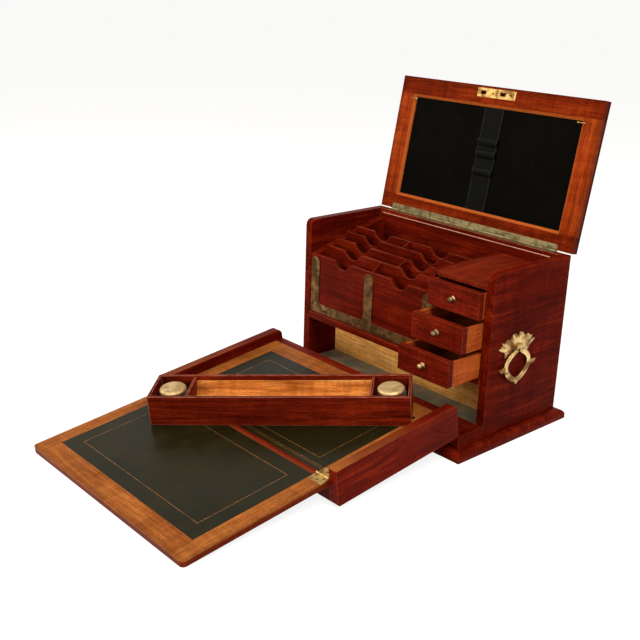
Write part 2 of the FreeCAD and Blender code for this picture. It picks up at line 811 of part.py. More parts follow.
def flap_hinge_rooms():
    """Pockets for the flap hinges, cut in both boards' top faces."""
    rooms = []
    for side in (-1, 1):
        x1 = side * flap_half
        x0 = x1 - side * flap_hinge_w
        rooms.append(slope_box(x0, x1, flap_hinge_s - flap_leaf, flap_hinge_s + flap_leaf,
                               surface_q - flap_leaf_t, surface_q + 1))
        rooms.append(rod(flap_knuckle_r + run_gap, min(x0, x1), max(x0, x1), -flap_hinge_s,
                         surface_q + flap_axis_up))
    return rooms


def fall_wall():
    """The right side wall of the fall, rounded at the back of its top."""
    wall = slope_box(fall_inner, half, 0, fall_len, 0, fall_h)
    corner = edges_at(wall, lambda p, e: near(p.y, 0) and near(p.z, fall_h))
    wall = wall.makeFillet(wall_round, corner)
    return wall.makeFillet(fall_edge_r, edges_at(wall, fall_outer_edge))


def fall_outer_edge(p, edge):
    """Whether an edge is the fall's outer edge at the flap."""
    return near(p.y, -fall_len) and near(p.z, 0)


def lock_plate_block():
    """The brass plate let into the fall's front edge."""
    x0, x1 = lock_x - strike_w / 2, lock_x + strike_w / 2
    return slope_box(x0, x1, fall_len - strike_t, fall_len, lock_inset - strike_h / 2,
                     lock_inset + strike_h / 2)


def lock_case_block():
    """The lock's case, behind its plate."""
    x0, x1 = lock_x - strike_w / 2 + lock_case_side, lock_x + strike_w / 2 - lock_case_side
    return slope_box(x0, x1, fall_len - lock_case_depth, fall_len - strike_t,
                     lock_inset - lock_case_below, lock_inset + lock_case_above)


def lock():
    """The lock: plate and case, with room for the bolt and its throw."""
    body = fuse_all([lock_plate_block(), lock_case_block()])
    rooms = [bolt_hook(x, bolt_gap) for x in bolt_xs]
    key_room = keyhole(lock_inset - lock_case_below - 1, lock_inset - bolt_t / 2)
    return cut_all(body, rooms + [bolt_bar(bolt_gap), key_room])


def keyhole(start, end):
    """The keyhole's round hole and slot, from one height on the slope to another."""
    hole_s = fall_len - lock_case_depth / 2
    hole = rod(keyhole_r, start, end, lock_x, -hole_s, "z")
    x0, x1 = lock_x - keyhole_slot / 2, lock_x + keyhole_slot / 2
    return hole.fuse(slope_box(x0, x1, hole_s, hole_s + keyhole_drop, start, end))


def escutcheon(start, end):
    """The round plate around the keyhole."""
    return rod(escutcheon_r, start, end, lock_x, -(fall_len - lock_case_depth / 2), "z")


def bolt_hook(x, gap):
    """One hook of the lock's bolt, flush with the plate; or, with a gap, its room."""
    end = fall_len + (1 if gap else 0)
    return slope_box(lock_x + x - gap, lock_x + x + bolt_w + gap, fall_len - bolt_hook_len - gap, end,
                     lock_inset - bolt_t / 2 - gap, lock_inset + bolt_t / 2 + gap)


def bolt_bar(gap):
    """The bar that joins the bolt's hooks; or, with a gap, the room it travels in."""
    x0, x1 = lock_x + bolt_xs[0], lock_x + bolt_xs[1] + bolt_w
    start = fall_len - bolt_hook_len
    throw = bolt_throw if gap else 0
    return slope_box(x0 - gap, x1 + gap, start - gap, start + bolt_bar_w + throw + gap,
                     lock_inset - bolt_t / 2 - gap, lock_inset + bolt_t / 2 + gap)


def catch_plate():
    """The small brass catch plate let into the writing surface's right border."""
    return slope_box(catch_x - catch_w / 2, catch_x + catch_w / 2, catch_s - catch_l / 2,
                     catch_s + catch_l / 2, surface_q - catch_t, surface_q)


def fall_front():
    """The fall: outer board, walls, rails, writing surface, leather and lock."""
    hinge_rooms = hinge_edge_rooms()
    lock_rooms = [lock_plate_block(), lock_case_block()]
    shield = escutcheon(0, escutcheon_t)
    outer = slope_box(-fall_inner, fall_inner, 0, fall_len, 0, fall_board_t)
    outer = outer.makeFillet(fall_edge_r, edges_at(outer, fall_outer_edge))
    outer = cut_all(outer, hinge_rooms + lock_rooms + [shield, keyhole(-1, fall_board_t + 1)])
    add("fall_outer_board", on_slope(outer))
    wall = fall_wall()
    add("fall_walls", on_slope(mirror_x(wall)), on_slope(wall))
    back_rail = slope_box(-fall_inner, fall_inner, 0, fall_rail_t, fall_board_t, surface_q)
    back_rail = cut_all(back_rail, hinge_rooms)
    rail_start = fall_len - fall_rail_t
    front_rail = slope_box(-fall_inner, fall_inner, rail_start, fall_len, fall_board_t, surface_q)
    pad = slope_box(-pad_x, pad_x, pad_back, fall_len - pad_front, surface_q - pad_t, surface_q)
    front_rail = cut_all(front_rail, [pad] + flap_hinge_rooms() + lock_rooms)
    add("fall_rails", on_slope(back_rail), on_slope(front_rail))
    board = slope_box(-fall_inner, fall_inner, fall_rail_t, rail_start, surface_q - surface_t, surface_q)
    board = cut_all(board, [pad, catch_plate()] + flap_hinge_rooms())
    add("fall_writing_board", on_slope(board))
    add("fall_leather", on_slope(pad))
    add("fall_catch_plate", on_slope(catch_plate()))
    shield = shield.cut(keyhole(-1, fall_board_t))
    add("fall_lock", on_slope(lock()), on_slope(shield))
    hooks = [bolt_hook(x, 0) for x in bolt_xs]
    add("lock_bolt", on_slope(fuse_all([bolt_bar(0)] + hooks)))
    add("fall_hinge_base_leaves", butt_base_leaf(-1), butt_base_leaf(1))
    add("fall_hinge_fall_leaves", butt_fall_leaf(-1), butt_fall_leaf(1))


# -------------------------------------------------------------------- the flap
def flap_leaf_pair(side):
    """Both leaves of one flap hinge: the fall's, and the flap's."""
    x1 = side * flap_half
    x0 = x1 - side * flap_hinge_w
    low, high = min(x0, x1), max(x0, x1)
    third = flap_hinge_w / 3
    axis = (-flap_hinge_s, surface_q + flap_axis_up)
    leaf_q = surface_q - flap_leaf_t
    fixed = slope_box(low, high, flap_hinge_s - flap_leaf, flap_hinge_s - leaf_gap, leaf_q, surface_q)
    moving = slope_box(low, high, flap_hinge_s + leaf_gap, flap_hinge_s + flap_leaf, leaf_q, surface_q)
    middle = (low + third + hinge_end_gap, high - third - hinge_end_gap)
    outers = ((low, low + third - hinge_end_gap), (high - third + hinge_end_gap, high))
    pin = rod(flap_pin_r, low, high, *axis)
    wide = flap_knuckle_r + run_gap
    fixed = fixed.cut(rod(wide, low + third, high - third, *axis))
    fixed = fuse_all([fixed] + [rod(flap_knuckle_r, *ends, *axis) for ends in outers] + [pin])
    sides = [rod(wide, low - 1, low + third, *axis), rod(wide, high - third, high + 1, *axis)]
    moving = cut_all(moving, sides)
    moving = fuse_all([moving, rod(flap_knuckle_r, *middle, *axis)])
    moving = moving.cut(rod(flap_pin_r + pin_gap, low - 1, high + 1, *axis))
    return on_slope(fixed), on_slope(moving)


def flap():
    """The hinged flap that doubles the writing surface."""
    board = slope_box(-flap_half, flap_half, flap_start, flap_end, flap_q, surface_q)
    corners = edges_at(board, lambda p, e: near(p.y, -flap_end) and near(abs(p.x), flap_half))
    board = board.makeFillet(flap_corner_r, corners)
    pad_start, pad_end = flap_start + flap_near, flap_end - flap_far
    pad = slope_box(-pad_x, pad_x, pad_start, pad_end, surface_q - pad_t, surface_q)
    board = cut_all(board.cut(pad), flap_hinge_rooms())
    add("flap_board", on_slope(board))
    add("flap_leather", on_slope(pad))
    pairs = [flap_leaf_pair(side) for side in (-1, 1)]
    add("flap_hinge_fall_leaves", *[pair[0] for pair in pairs])
    add("flap_hinge_flap_leaves", *[pair[1] for pair in pairs])


# ---------------------------------------------------------------- the pen tray
def tray_boards():
    """The open tray's five boards: two sides, two ends between them, a floor."""
    x, y = tray_len / 2, tray_w / 2
    boards = []
    for side in (-1, 1):
        boards.append(box(-x, x, side * y, side * (y - tray_wall), 0, tray_h))
    inside = y - tray_wall
    for side in (-1, 1):
        boards.append(box(side * x, side * (x - tray_wall), -inside, inside, 0, tray_h))
    boards.append(box(tray_wall - x, x - tray_wall, -inside, inside, 0, tray_floor))
    return boards


def trough():
    """The pen trough between the two wells, hollowed in an arc."""
    x = tray_len / 2 - tray_wall - well_len - tray_partition_t
    y = tray_w / 2 - tray_wall
    top = tray_h - trough_drop
    block = box(-x, x, -y, y, tray_floor, top)
    return block.cut(rod(trough_r, -x - 1, x + 1, 0, tray_floor + trough_floor + trough_r))


def bottle(x):
    """A square glass inkwell with a round brass collar and hinge ears."""
    w = bottle_w / 2
    shoulder = tray_floor + bottle_h
    body = box(x - w, x + w, -w, w, tray_floor, shoulder)
    uprights = edges_at(body, lambda p, e: near(p.z, (tray_floor + shoulder) / 2))
    body = body.makeFillet(bottle_corner_r, uprights)
    top = tray_floor + collar_h
    collar = rod(collar_r, shoulder - collar_seat, top, x, 0, "z")
    ear_start = cap_knuckle_w / 2 + hinge_end_gap
    axis_z = top + cap_knuckle_r
    ear_low = top - cap_ear_h
    ears = []
    for side in (-1, 1):
        x0, x1 = sorted((x + side * ear_start, x + side * (ear_start + cap_ear_t)))
        ears.append(box(x0, x1, collar_r - cap_ear_in, cap_axis, ear_low, top - cap_lift_gap))
        ears.append(box(x0, x1, cap_axis - cap_knuckle_r, cap_axis + cap_knuckle_r, ear_low, axis_z))
        ears.append(rod(cap_knuckle_r, x0, x1, cap_axis, axis_z))
    pin_end = ear_start + cap_ear_t / 2
    pin = rod(cap_pin_r, x - pin_end, x + pin_end, cap_axis, axis_z)
    whole = fuse_all([body, collar] + ears + [pin])
    return whole.cut(rod(bottle_bore, tray_floor + bottle_base_t, top + 1, x, 0, "z"))


def cap(x):
    """A crowned round brass cap with its hinge knuckle."""
    base = tray_floor + collar_h + cap_lift_gap
    disc = rod(cap_r, base, base + cap_h, x, 0, "z")
    rim = edges_at(disc, lambda p, e: near(p.z, base + cap_h))
    disc = disc.makeChamfer(cap_crown, rim)
    axis_z = tray_floor + collar_h + cap_knuckle_r
    x0, x1 = x - cap_knuckle_w / 2, x + cap_knuckle_w / 2
    beside = cap_ear_t + 1
    clear_r = cap_knuckle_r + run_gap
    rooms = [
        rod(clear_r, x0 - beside, x0, cap_axis, axis_z),
        rod(clear_r, x1, x1 + beside, cap_axis, axis_z),
    ]
    lug = box(x0, x1, cap_r - cap_lug_in, cap_axis, base, axis_z + cap_lug_top)
    knuckle = rod(cap_knuckle_r, x0, x1, cap_axis, axis_z)
    body = fuse_all([cut_all(disc, rooms), lug, knuckle])
    return body.cut(rod(cap_pin_r + pin_gap, x0 - 1, x1 + 1, cap_axis, axis_z))


def pen_tray():
    """The tray with its trough, partitions, inkwells and their caps."""
    add("pen_tray_box", *[on_tray(board) for board in tray_boards()])
    add("pen_tray_trough", on_tray(trough()))
    y = tray_w / 2 - tray_wall
    walls = []
    for side in (-1, 1):
        x = side * (tray_len / 2 - tray_wall - well_len)
        wall = box(x, x - side * tray_partition_t, -y, y, tray_floor, tray_h - tray_partition_drop)
        walls.append(on_tray(wall))
    add("pen_tray_partitions", *walls)
    middle = tray_len / 2 - tray_wall - well_len / 2
    add("inkwell_bottles", on_tray(bottle(-middle)), on_tray(bottle(middle)))
    add("inkwell_cap_left", on_tray(cap(-middle)))
    add("inkwell_cap_right", on_tray(cap(middle)))


# ------------------------------------------------------------ the side handles
def curve_wire(corners, bulges, x):
    """A closed wire through corners, symmetric about Y = 0.

    Each bulge is how far the leg's middle swells out of the straight line.
    """
    legs = []
    for a, b, bulge in zip(corners, corners[1:], bulges):
        legs.append((a, b, bulge))
    for a, b, bulge in reversed(list(legs)):
        legs.append(((-b[0], b[1]), (-a[0], a[1]), bulge))
    edges = []
    for a, b, bulge in legs:
        start, end = Vector(x, *a), Vector(x, *b)
        if not bulge:
            edges.append(Part.makeLine(start, end))
            continue
        run = end - start
        out = Vector(0, -run.z, run.y)
        out.normalize()
        edges.append(Part.Arc(start, (start + end) * 0.5 + out * bulge, end).toShape())
    return Part.Wire(edges)


def backplate():
    """The handle's winged plate on the right side panel, with two pivot ears."""
    corners = [
        (0, plate_mid_top), (plate_crest_y, plate_crest_z), (plate_dip_y, plate_dip_z),
        (plate_wing_y, plate_wing_z), (plate_w / 2, plate_tip_z), (plate_wing_y, plate_barb_z),
        (plate_notch_y, plate_notch_z), (0, plate_mid_foot),
    ]
    plate = Part.Face(curve_wire(corners, plate_swells, half)).extrude(Vector(plate_t, 0, 0))
    reach = half + bail_axis_out
    pieces = [plate]
    ear_start = bail_eye_w / 2 + run_gap
    for side in (-1, 1):
        y0, y1 = sorted((side * ear_start, side * (ear_start + ear_t)))
        pieces.append(rod(bail_eye_r, y0, y1, reach, bail_axis_z, "y"))
        pieces.append(box(half, reach, y0, y1, bail_axis_z - bail_eye_r, bail_axis_z + bail_eye_r))
    end = ear_start + ear_t / 2
    pieces.append(rod(bail_pin_r, -end, end, reach, bail_axis_z, "y"))
    return fuse_all(pieces)


def bail():
    """The hanging bail: a shield-shaped ring with cusps, on a round eye."""
    x = half + bail_axis_out - bail_t / 2
    z = bail_axis_z
    outer = [
        (0, z), (bail_shoulder_y, z - bail_shoulder_drop), (bail_w / 2, z - bail_wide_drop),
        (bail_cusp_y, z - bail_cusp_drop), (0, z - bail_drop),
    ]
    inside = [
        (0, z - bail_bar), (bail_in_shoulder_y, z - bail_in_shoulder_drop),
        (bail_in_wide_y, z - bail_wide_drop), (bail_in_cusp_y, z - bail_in_cusp_drop),
        (0, z - bail_drop + bail_bar),
    ]
    solid = Part.Face(curve_wire(outer, bail_outer_swells, x)).extrude(Vector(bail_t, 0, 0))
    hole = Part.Face(curve_wire(inside, bail_inner_swells, x - 1)).extrude(Vector(bail_t + 2, 0, 0))
    ring = solid.cut(hole)
    gap_w = bail_eye_w / 2
    ear_room = gap_w + ear_t + 2 * run_gap
    for side in (-1, 1):
        y0, y1 = sorted((side * gap_w, side * ear_room))
        ring = ring.cut(box(x - 1, x + bail_t + 1, y0, y1, z - bail_eye_r - run_gap, z + bail_eye_r))
    eye = rod(bail_eye_r, -gap_w, gap_w, half + bail_axis_out, z, "y")
    body = fuse_all([ring, eye])
    return body.cut(rod(bail_pin_r + pin_gap, -gap_w - 1, gap_w + 1, half + bail_axis_out, z, "y"))


def handles():
    """The two drop handles, at the middle of the side panels."""
    raise_up = Placement(Vector(0, 0, handle_z), Rotation())
    plate = placed(backplate(), raise_up)
    add("handle_backplates", mirror_x(plate), plate)
    swing = placed(bail(), raise_up)
    add("handle_bail_right", swing)
    add("handle_bail_left", mirror_x(swing))


# ------------------------------------------------------------------ the build
carcass()
letter_rack()
card_frame()
stack_frame()
drawers()
lid()
piano_hinge()
fall_front()
flap()
pen_tray()
handles()

os.makedirs("parts", exist_ok=True)
for name, shape in parts.items():
    shape.exportStep(f"parts/{name}.step")
print(len(parts), "nodes")
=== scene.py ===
"""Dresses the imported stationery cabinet: finishes, fittings, studio and camera."""

import json
import logging
import math
from dataclasses import dataclass
from enum import Enum
from typing import ClassVar

import bmesh
import bpy
from mathutils import Matrix, Vector


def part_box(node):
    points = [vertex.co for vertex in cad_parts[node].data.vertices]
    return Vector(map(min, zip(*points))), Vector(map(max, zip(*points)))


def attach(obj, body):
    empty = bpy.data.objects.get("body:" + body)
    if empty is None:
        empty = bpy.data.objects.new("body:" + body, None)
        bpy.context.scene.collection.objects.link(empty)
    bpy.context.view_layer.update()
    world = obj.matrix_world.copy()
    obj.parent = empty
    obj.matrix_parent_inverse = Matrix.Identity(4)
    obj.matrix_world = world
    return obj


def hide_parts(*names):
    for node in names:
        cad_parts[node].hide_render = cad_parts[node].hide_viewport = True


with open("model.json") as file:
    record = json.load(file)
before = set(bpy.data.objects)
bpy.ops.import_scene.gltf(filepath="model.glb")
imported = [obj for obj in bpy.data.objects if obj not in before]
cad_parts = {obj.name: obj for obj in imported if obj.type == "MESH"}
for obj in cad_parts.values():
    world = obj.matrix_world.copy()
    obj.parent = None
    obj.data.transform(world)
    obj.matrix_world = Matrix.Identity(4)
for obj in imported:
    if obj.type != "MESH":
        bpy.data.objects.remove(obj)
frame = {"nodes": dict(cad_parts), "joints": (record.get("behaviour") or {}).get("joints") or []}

LOG = logging.getLogger("writing_cabinet")
MM = 0.001

Pair = tuple[float, float]
Triple = tuple[float, float, float]
Colour = tuple[float, float, float, float]
Profile = tuple[Pair, ...]
Limb = tuple[Triple, ...]
Ring = list[bmesh.types.BMVert]
Material = bpy.types.Material
Socket = bpy.types.NodeSocket

WHITE = (1.0, 1.0, 1.0, 1.0)
ACROSS = Vector((1, 0, 0))
UPRIGHT = Vector((0, 0, 1))
SHARP_EDGE = math.radians(35)
FIRST_SLOT = math.radians(20)
NEXT_SLOT = math.radians(47)


# ------------------------------------------------------------------ colours
def linear(red: int, green: int, blue: int) -> Colour:
    """Turn an 8-bit display colour into the linear colour that shaders take.

    Args:
        red: Red, 0 to 255.
        green: Green, 0 to 255.
        blue: Blue, 0 to 255.

    Returns:
        The linear colour with an alpha of 1.
    """
    channels = []
    for value in (red, green, blue):
        share = value / 255
        channels.append(share / 12.92 if share <= 0.04045 else ((share + 0.055) / 1.055) ** 2.4)
    return (*channels, 1.0)


# ------------------------------------------------------------------- planes
@dataclass(frozen=True)
class Plane:
    """A working plane: an origin with a direction across, along and out.

    Attributes:
        origin: A point on the plane, in metres.
        across: Unit vector across.
        along: Unit vector along.
        out: Unit normal.
    """

    origin: Vector
    across: Vector
    along: Vector
    out: Vector

    def at(self, across: float, along: float, out: float = 0.0) -> Vector:
        """Give the point at millimetres across, along and out."""
        return self.origin + (self.across * across + self.along * along + self.out * out) * MM

    def matrix(self, across: float, along: float, out: float = 0.0) -> Matrix:
        """Give the matrix of a piece standing on the plane at that point."""
        axes = Matrix((self.across, self.along, self.out)).transposed().to_4x4()
        return Matrix.Translation(self.at(across, along, out)) @ axes

    def oblong(self, across: Pair, along: Pair, out: float) -> list[Vector]:
        """Give an oblong's corners, from its limits across and along and its height."""
        (left, right), (start, end) = across, along
        return [self.at(x, s, out) for x, s in ((left, start), (right, start), (right, end), (left, end))]


def joint(name: str) -> dict:
    """Find a joint of the frame by name."""
    return next(entry for entry in frame["joints"] if entry["name"] == name)


def slope_plane(hinge_rise: float = 0.6) -> Plane:
    """Find the writing surface, from the flap's hinge line towards the free edge.

    Args:
        hinge_rise: Height of the hinge line over the leather, in millimetres.

    Returns:
        The plane.
    """
    out = Vector(joint("pen_tray_lift")["axis"]).normalized()
    hinge = Vector(joint("flap_hinge")["pos_m"])
    return Plane(hinge - out * hinge_rise * MM, ACROSS, Vector((0, -out.z, out.y)), out)


def lid_plane() -> Plane:
    """Find the open lid's inner face, from the hinge line upwards.

    Returns:
        The plane.
    """
    hinge = joint("lid_hinge")
    angle = math.radians(-hinge["range_deg"][0])
    along = Vector((0, -math.cos(angle), math.sin(angle)))
    out = Vector((0, -math.sin(angle), -math.cos(angle)))
    return Plane(Vector(hinge["pos_m"]), ACROSS, along, out)


def side_plane(side: int) -> Plane:
    """Find a side panel's face behind a drop handle, at the height of the bail's pin.

    Args:
        side: -1 on the left, 1 on the right.

    Returns:
        The plane.
    """
    low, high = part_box("right_side_panel" if side > 0 else "left_side_panel")
    face = high[0] if side > 0 else low[0]
    pin = Vector(joint("bail_right_hinge")["pos_m"])
    return Plane(Vector((face, pin.y, pin.z)), Vector((0, side, 0)), UPRIGHT, Vector((side, 0, 0)))


SLOPE = slope_plane()
LID = lid_plane()


# ---------------------------------------------------------------- materials
class Grain(Enum):
    """The way a board's grain runs in the open cabinet."""

    ACROSS = (1.0, 0.0, 0.0)
    BACKWARD = (0.0, 1.0, 0.0)
    UPRIGHT = (0.0, 0.0, 1.0)
    DOWN_THE_SLOPE = tuple(SLOPE.along)
    UP_THE_LID = tuple(LID.along)
    ALONG_THE_TRAY = tuple(-Vector(joint("cap_left_hinge")["axis"]).normalized())

    def turn(self) -> Triple:
        """Give the Euler angles that bring the grain onto X."""
        return tuple(Vector(self.value).rotation_difference(ACROSS).to_euler("XYZ"))


class Bench:
    """A material or the world on the bench: makes its nodes and joins them up."""

    def __init__(self, owner: Material | bpy.types.World) -> None:
        """Start with the shader that the owner comes with.

        Args:
            owner: The material or world.
        """
        owner.use_nodes = True
        self.owner = owner
        self.tree = owner.node_tree
        self.shader = self.tree.nodes.get("Principled BSDF") or self.tree.nodes["Background"]

    def node(self, kind: str, inputs: dict | None = None, **settings: object) -> bpy.types.Node:
        """Add one node.

        Args:
            kind: The node's type, without "ShaderNode".
            inputs: Values or sockets for its inputs, by name or number.
            **settings: Attributes of the node.

        Returns:
            The new node.
        """
        made = self.tree.nodes.new("ShaderNode" + kind)
        for name, value in settings.items():
            setattr(made, name, value)
        self.feed(made, inputs or {})
        return made

    def feed(self, node: bpy.types.Node, inputs: dict) -> None:
        """Join a node's inputs to other sockets, or give them values.

        Args:
            node: The node.
            inputs: Values or sockets, by name or number.
        """
        for name, value in inputs.items():
            if isinstance(value, Socket):
                self.tree.links.new(value, node.inputs[name])
            else:
                node.inputs[name].default_value = value

    def dress(self, inputs: dict) -> None:
        """Feed the shader's inputs, by name."""
        self.feed(self.shader, inputs)

    def sum(self, operation: str, first: object, second: object = 0.0, clamp: bool = False) -> Socket:
        """Work out one step of arithmetic, held between 0 and 1 where clamped."""
        made = self.node("Math", {0: first, 1: second}, operation=operation, use_clamp=clamp)
        return made.outputs["Value"]

    def times(self, first: Socket, second: object) -> Socket:
        """Multiply two numbers."""
        return self.sum("MULTIPLY", first, second)

    def minus(self, first: object, second: object) -> Socket:
        """Take one number from another."""
        return self.sum("SUBTRACT", first, second)

    def size(self, value: Socket) -> Socket:
        """Drop a number's sign."""
        return self.sum("ABSOLUTE", value)

    def vector(self, operation: str, first: object, second: object) -> bpy.types.NodeOutputs:
        """Work out one step of vector arithmetic, and give its outputs "Vector" and "Value"."""
        other = "Scale" if operation == "SCALE" else 1
        return self.node("VectorMath", {0: first, other: second}, operation=operation).outputs

    def ramp(self, factor: Socket, stops: tuple[tuple[float, Colour], ...]) -> Socket:
        """Turn a factor into a colour.

        Args:
            factor: The factor's socket.
            stops: Places and colours along the ramp.

        Returns:
            The colour's socket.
        """
        made = self.node("ValToRGB", {"Fac": factor})
        elements = made.color_ramp.elements
        while len(elements) < len(stops):
            elements.new(0.5)
        for element, (place, colour) in zip(elements, stops):
            element.position = place
            element.color = colour
        return made.outputs["Color"]

    def spread(self, factor: Socket, low: float, high: float, start: float, end: float) -> Socket:
        """Map a factor from low..high to start..end, held at both ends."""
        ends = {"Value": factor, "From Min": low, "From Max": high, "To Min": start, "To Max": end}
        return self.node("MapRange", ends).outputs["Result"]

    def blend(self, factor: object, first: object, second: object, mode: str = "MIX") -> Socket:
        """Mix two colours by a factor, in one of Blender's modes."""
        made = self.node("Mix", {0: factor, 6: first, 7: second}, data_type="RGBA", blend_type=mode)
        return made.outputs[2]

    def tone(self, colour: Socket, shade: object, mask: Socket, share: float, mode: str = "MIX") -> Socket:
        """Lay a share of a shade over a colour where a mask is set."""
        return self.blend(self.times(mask, share), colour, shade, mode)

    def bump(self, height: Socket, depth: float, strength: float, normal: Socket | None = None) -> Socket:
        """Raise the surface a little.

        Args:
            height: The height's socket, 0 to 1.
            depth: Height of a full rise, in millimetres.
            strength: Strength of the effect.
            normal: The normal that it starts from.

        Returns:
            The new normal's socket.
        """
        made = self.node("Bump", {"Height": height, "Distance": depth * MM, "Strength": strength})
        if normal is not None:
            self.feed(made, {"Normal": normal})
        return made.outputs["Normal"]

    def noise(self, place: Socket, scale: Triple, detail: float = 3.0, warp: float = 0.0) -> Socket:
        """Sample noise on stretched coordinates.

        Args:
            place: The coordinates' socket, in metres.
            scale: Features per metre along each axis.
            detail: Octaves of noise.
            warp: How far the noise distorts itself.

        Returns:
            The noise value's socket, from 0 to 1.
        """
        stretched = self.node("Mapping", {"Vector": place, "Scale": scale})
        made = self.node("TexNoise", {"Vector": stretched.outputs["Vector"], "Scale": 1.0,
                                      "Detail": detail, "Distortion": warp})
        return made.outputs["Fac"]

    def spot(self) -> Socket:
        """Give coordinates in metres on the piece as it lies in the open cabinet."""
        return self.node("TexCoord").outputs["Object"]

    def shifted(self, most: Triple = (3.1, 1.7, 2.3)) -> Socket:
        """Give coordinates in metres, shifted differently on each piece, by most at the most."""
        shift = self.vector("SCALE", most, self.node("ObjectInfo").outputs["Random"])["Vector"]
        return self.vector("ADD", self.spot(), shift)["Vector"]

    def turned(self, place: Socket, grain: Grain) -> Socket:
        """Turn coordinates so that a grain runs along X."""
        return self.node("Mapping", {"Vector": place, "Rotation": grain.turn()}).outputs["Vector"]

    def reach(self, origin: Vector, direction: Vector) -> Socket:
        """Measure how far a point lies from an origin in a direction, in metres."""
        from_origin = self.vector("SUBTRACT", self.spot(), tuple(origin))["Vector"]
        return self.vector("DOT_PRODUCT", from_origin, tuple(direction))["Value"]

    def across(self, plane: Plane) -> Socket:
        """Measure how far across a plane a point lies, in metres."""
        return self.reach(plane.origin, plane.across)

    def along(self, plane: Plane) -> Socket:
        """Measure how far along a plane a point lies, in metres."""
        return self.reach(plane.origin, plane.along)

    def height(self, plane: Plane) -> Socket:
        """Measure how high over a plane a point lies, in metres."""
        return self.reach(plane.origin, plane.out)

    def arris(self, radius: float, full: float) -> tuple[Socket, Socket]:
        """Find the piece's edges by rounding its normals.

        Args:
            radius: Radius of the rounding, in millimetres.
            full: How far the normal must turn to count as an edge.

        Returns:
            The rounded normal's socket, and a mask that is 1 on an edge.
        """
        rounded = self.node("Bevel", {"Radius": radius * MM}, samples=4).outputs["Normal"]
        true_normal = self.node("NewGeometry").outputs["Normal"]
        agree = self.vector("DOT_PRODUCT", rounded, true_normal)["Value"]
        return rounded, self.spread(agree, 1.0 - full, 0.995, 1.0, 0.0)

    def seen_as(self, bright: Socket, share: float = 1.0) -> None:
        """Show another shader to the camera, and in what metal and glass show of it.

        Args:
            bright: The other shader's output.
            share: How much of it is mixed in.
        """
        paths = self.node("LightPath").outputs
        seen = self.sum("MAXIMUM", paths["Is Camera Ray"], paths["Is Glossy Ray"])
        seen = self.sum("MAXIMUM", seen, paths["Is Transmission Ray"])
        own = self.shader.outputs[0]
        surface = own.links[0].to_socket
        mixed = self.node("MixShader", {0: self.times(seen, share), 1: own, 2: bright})
        self.tree.links.new(mixed.outputs[0], surface)


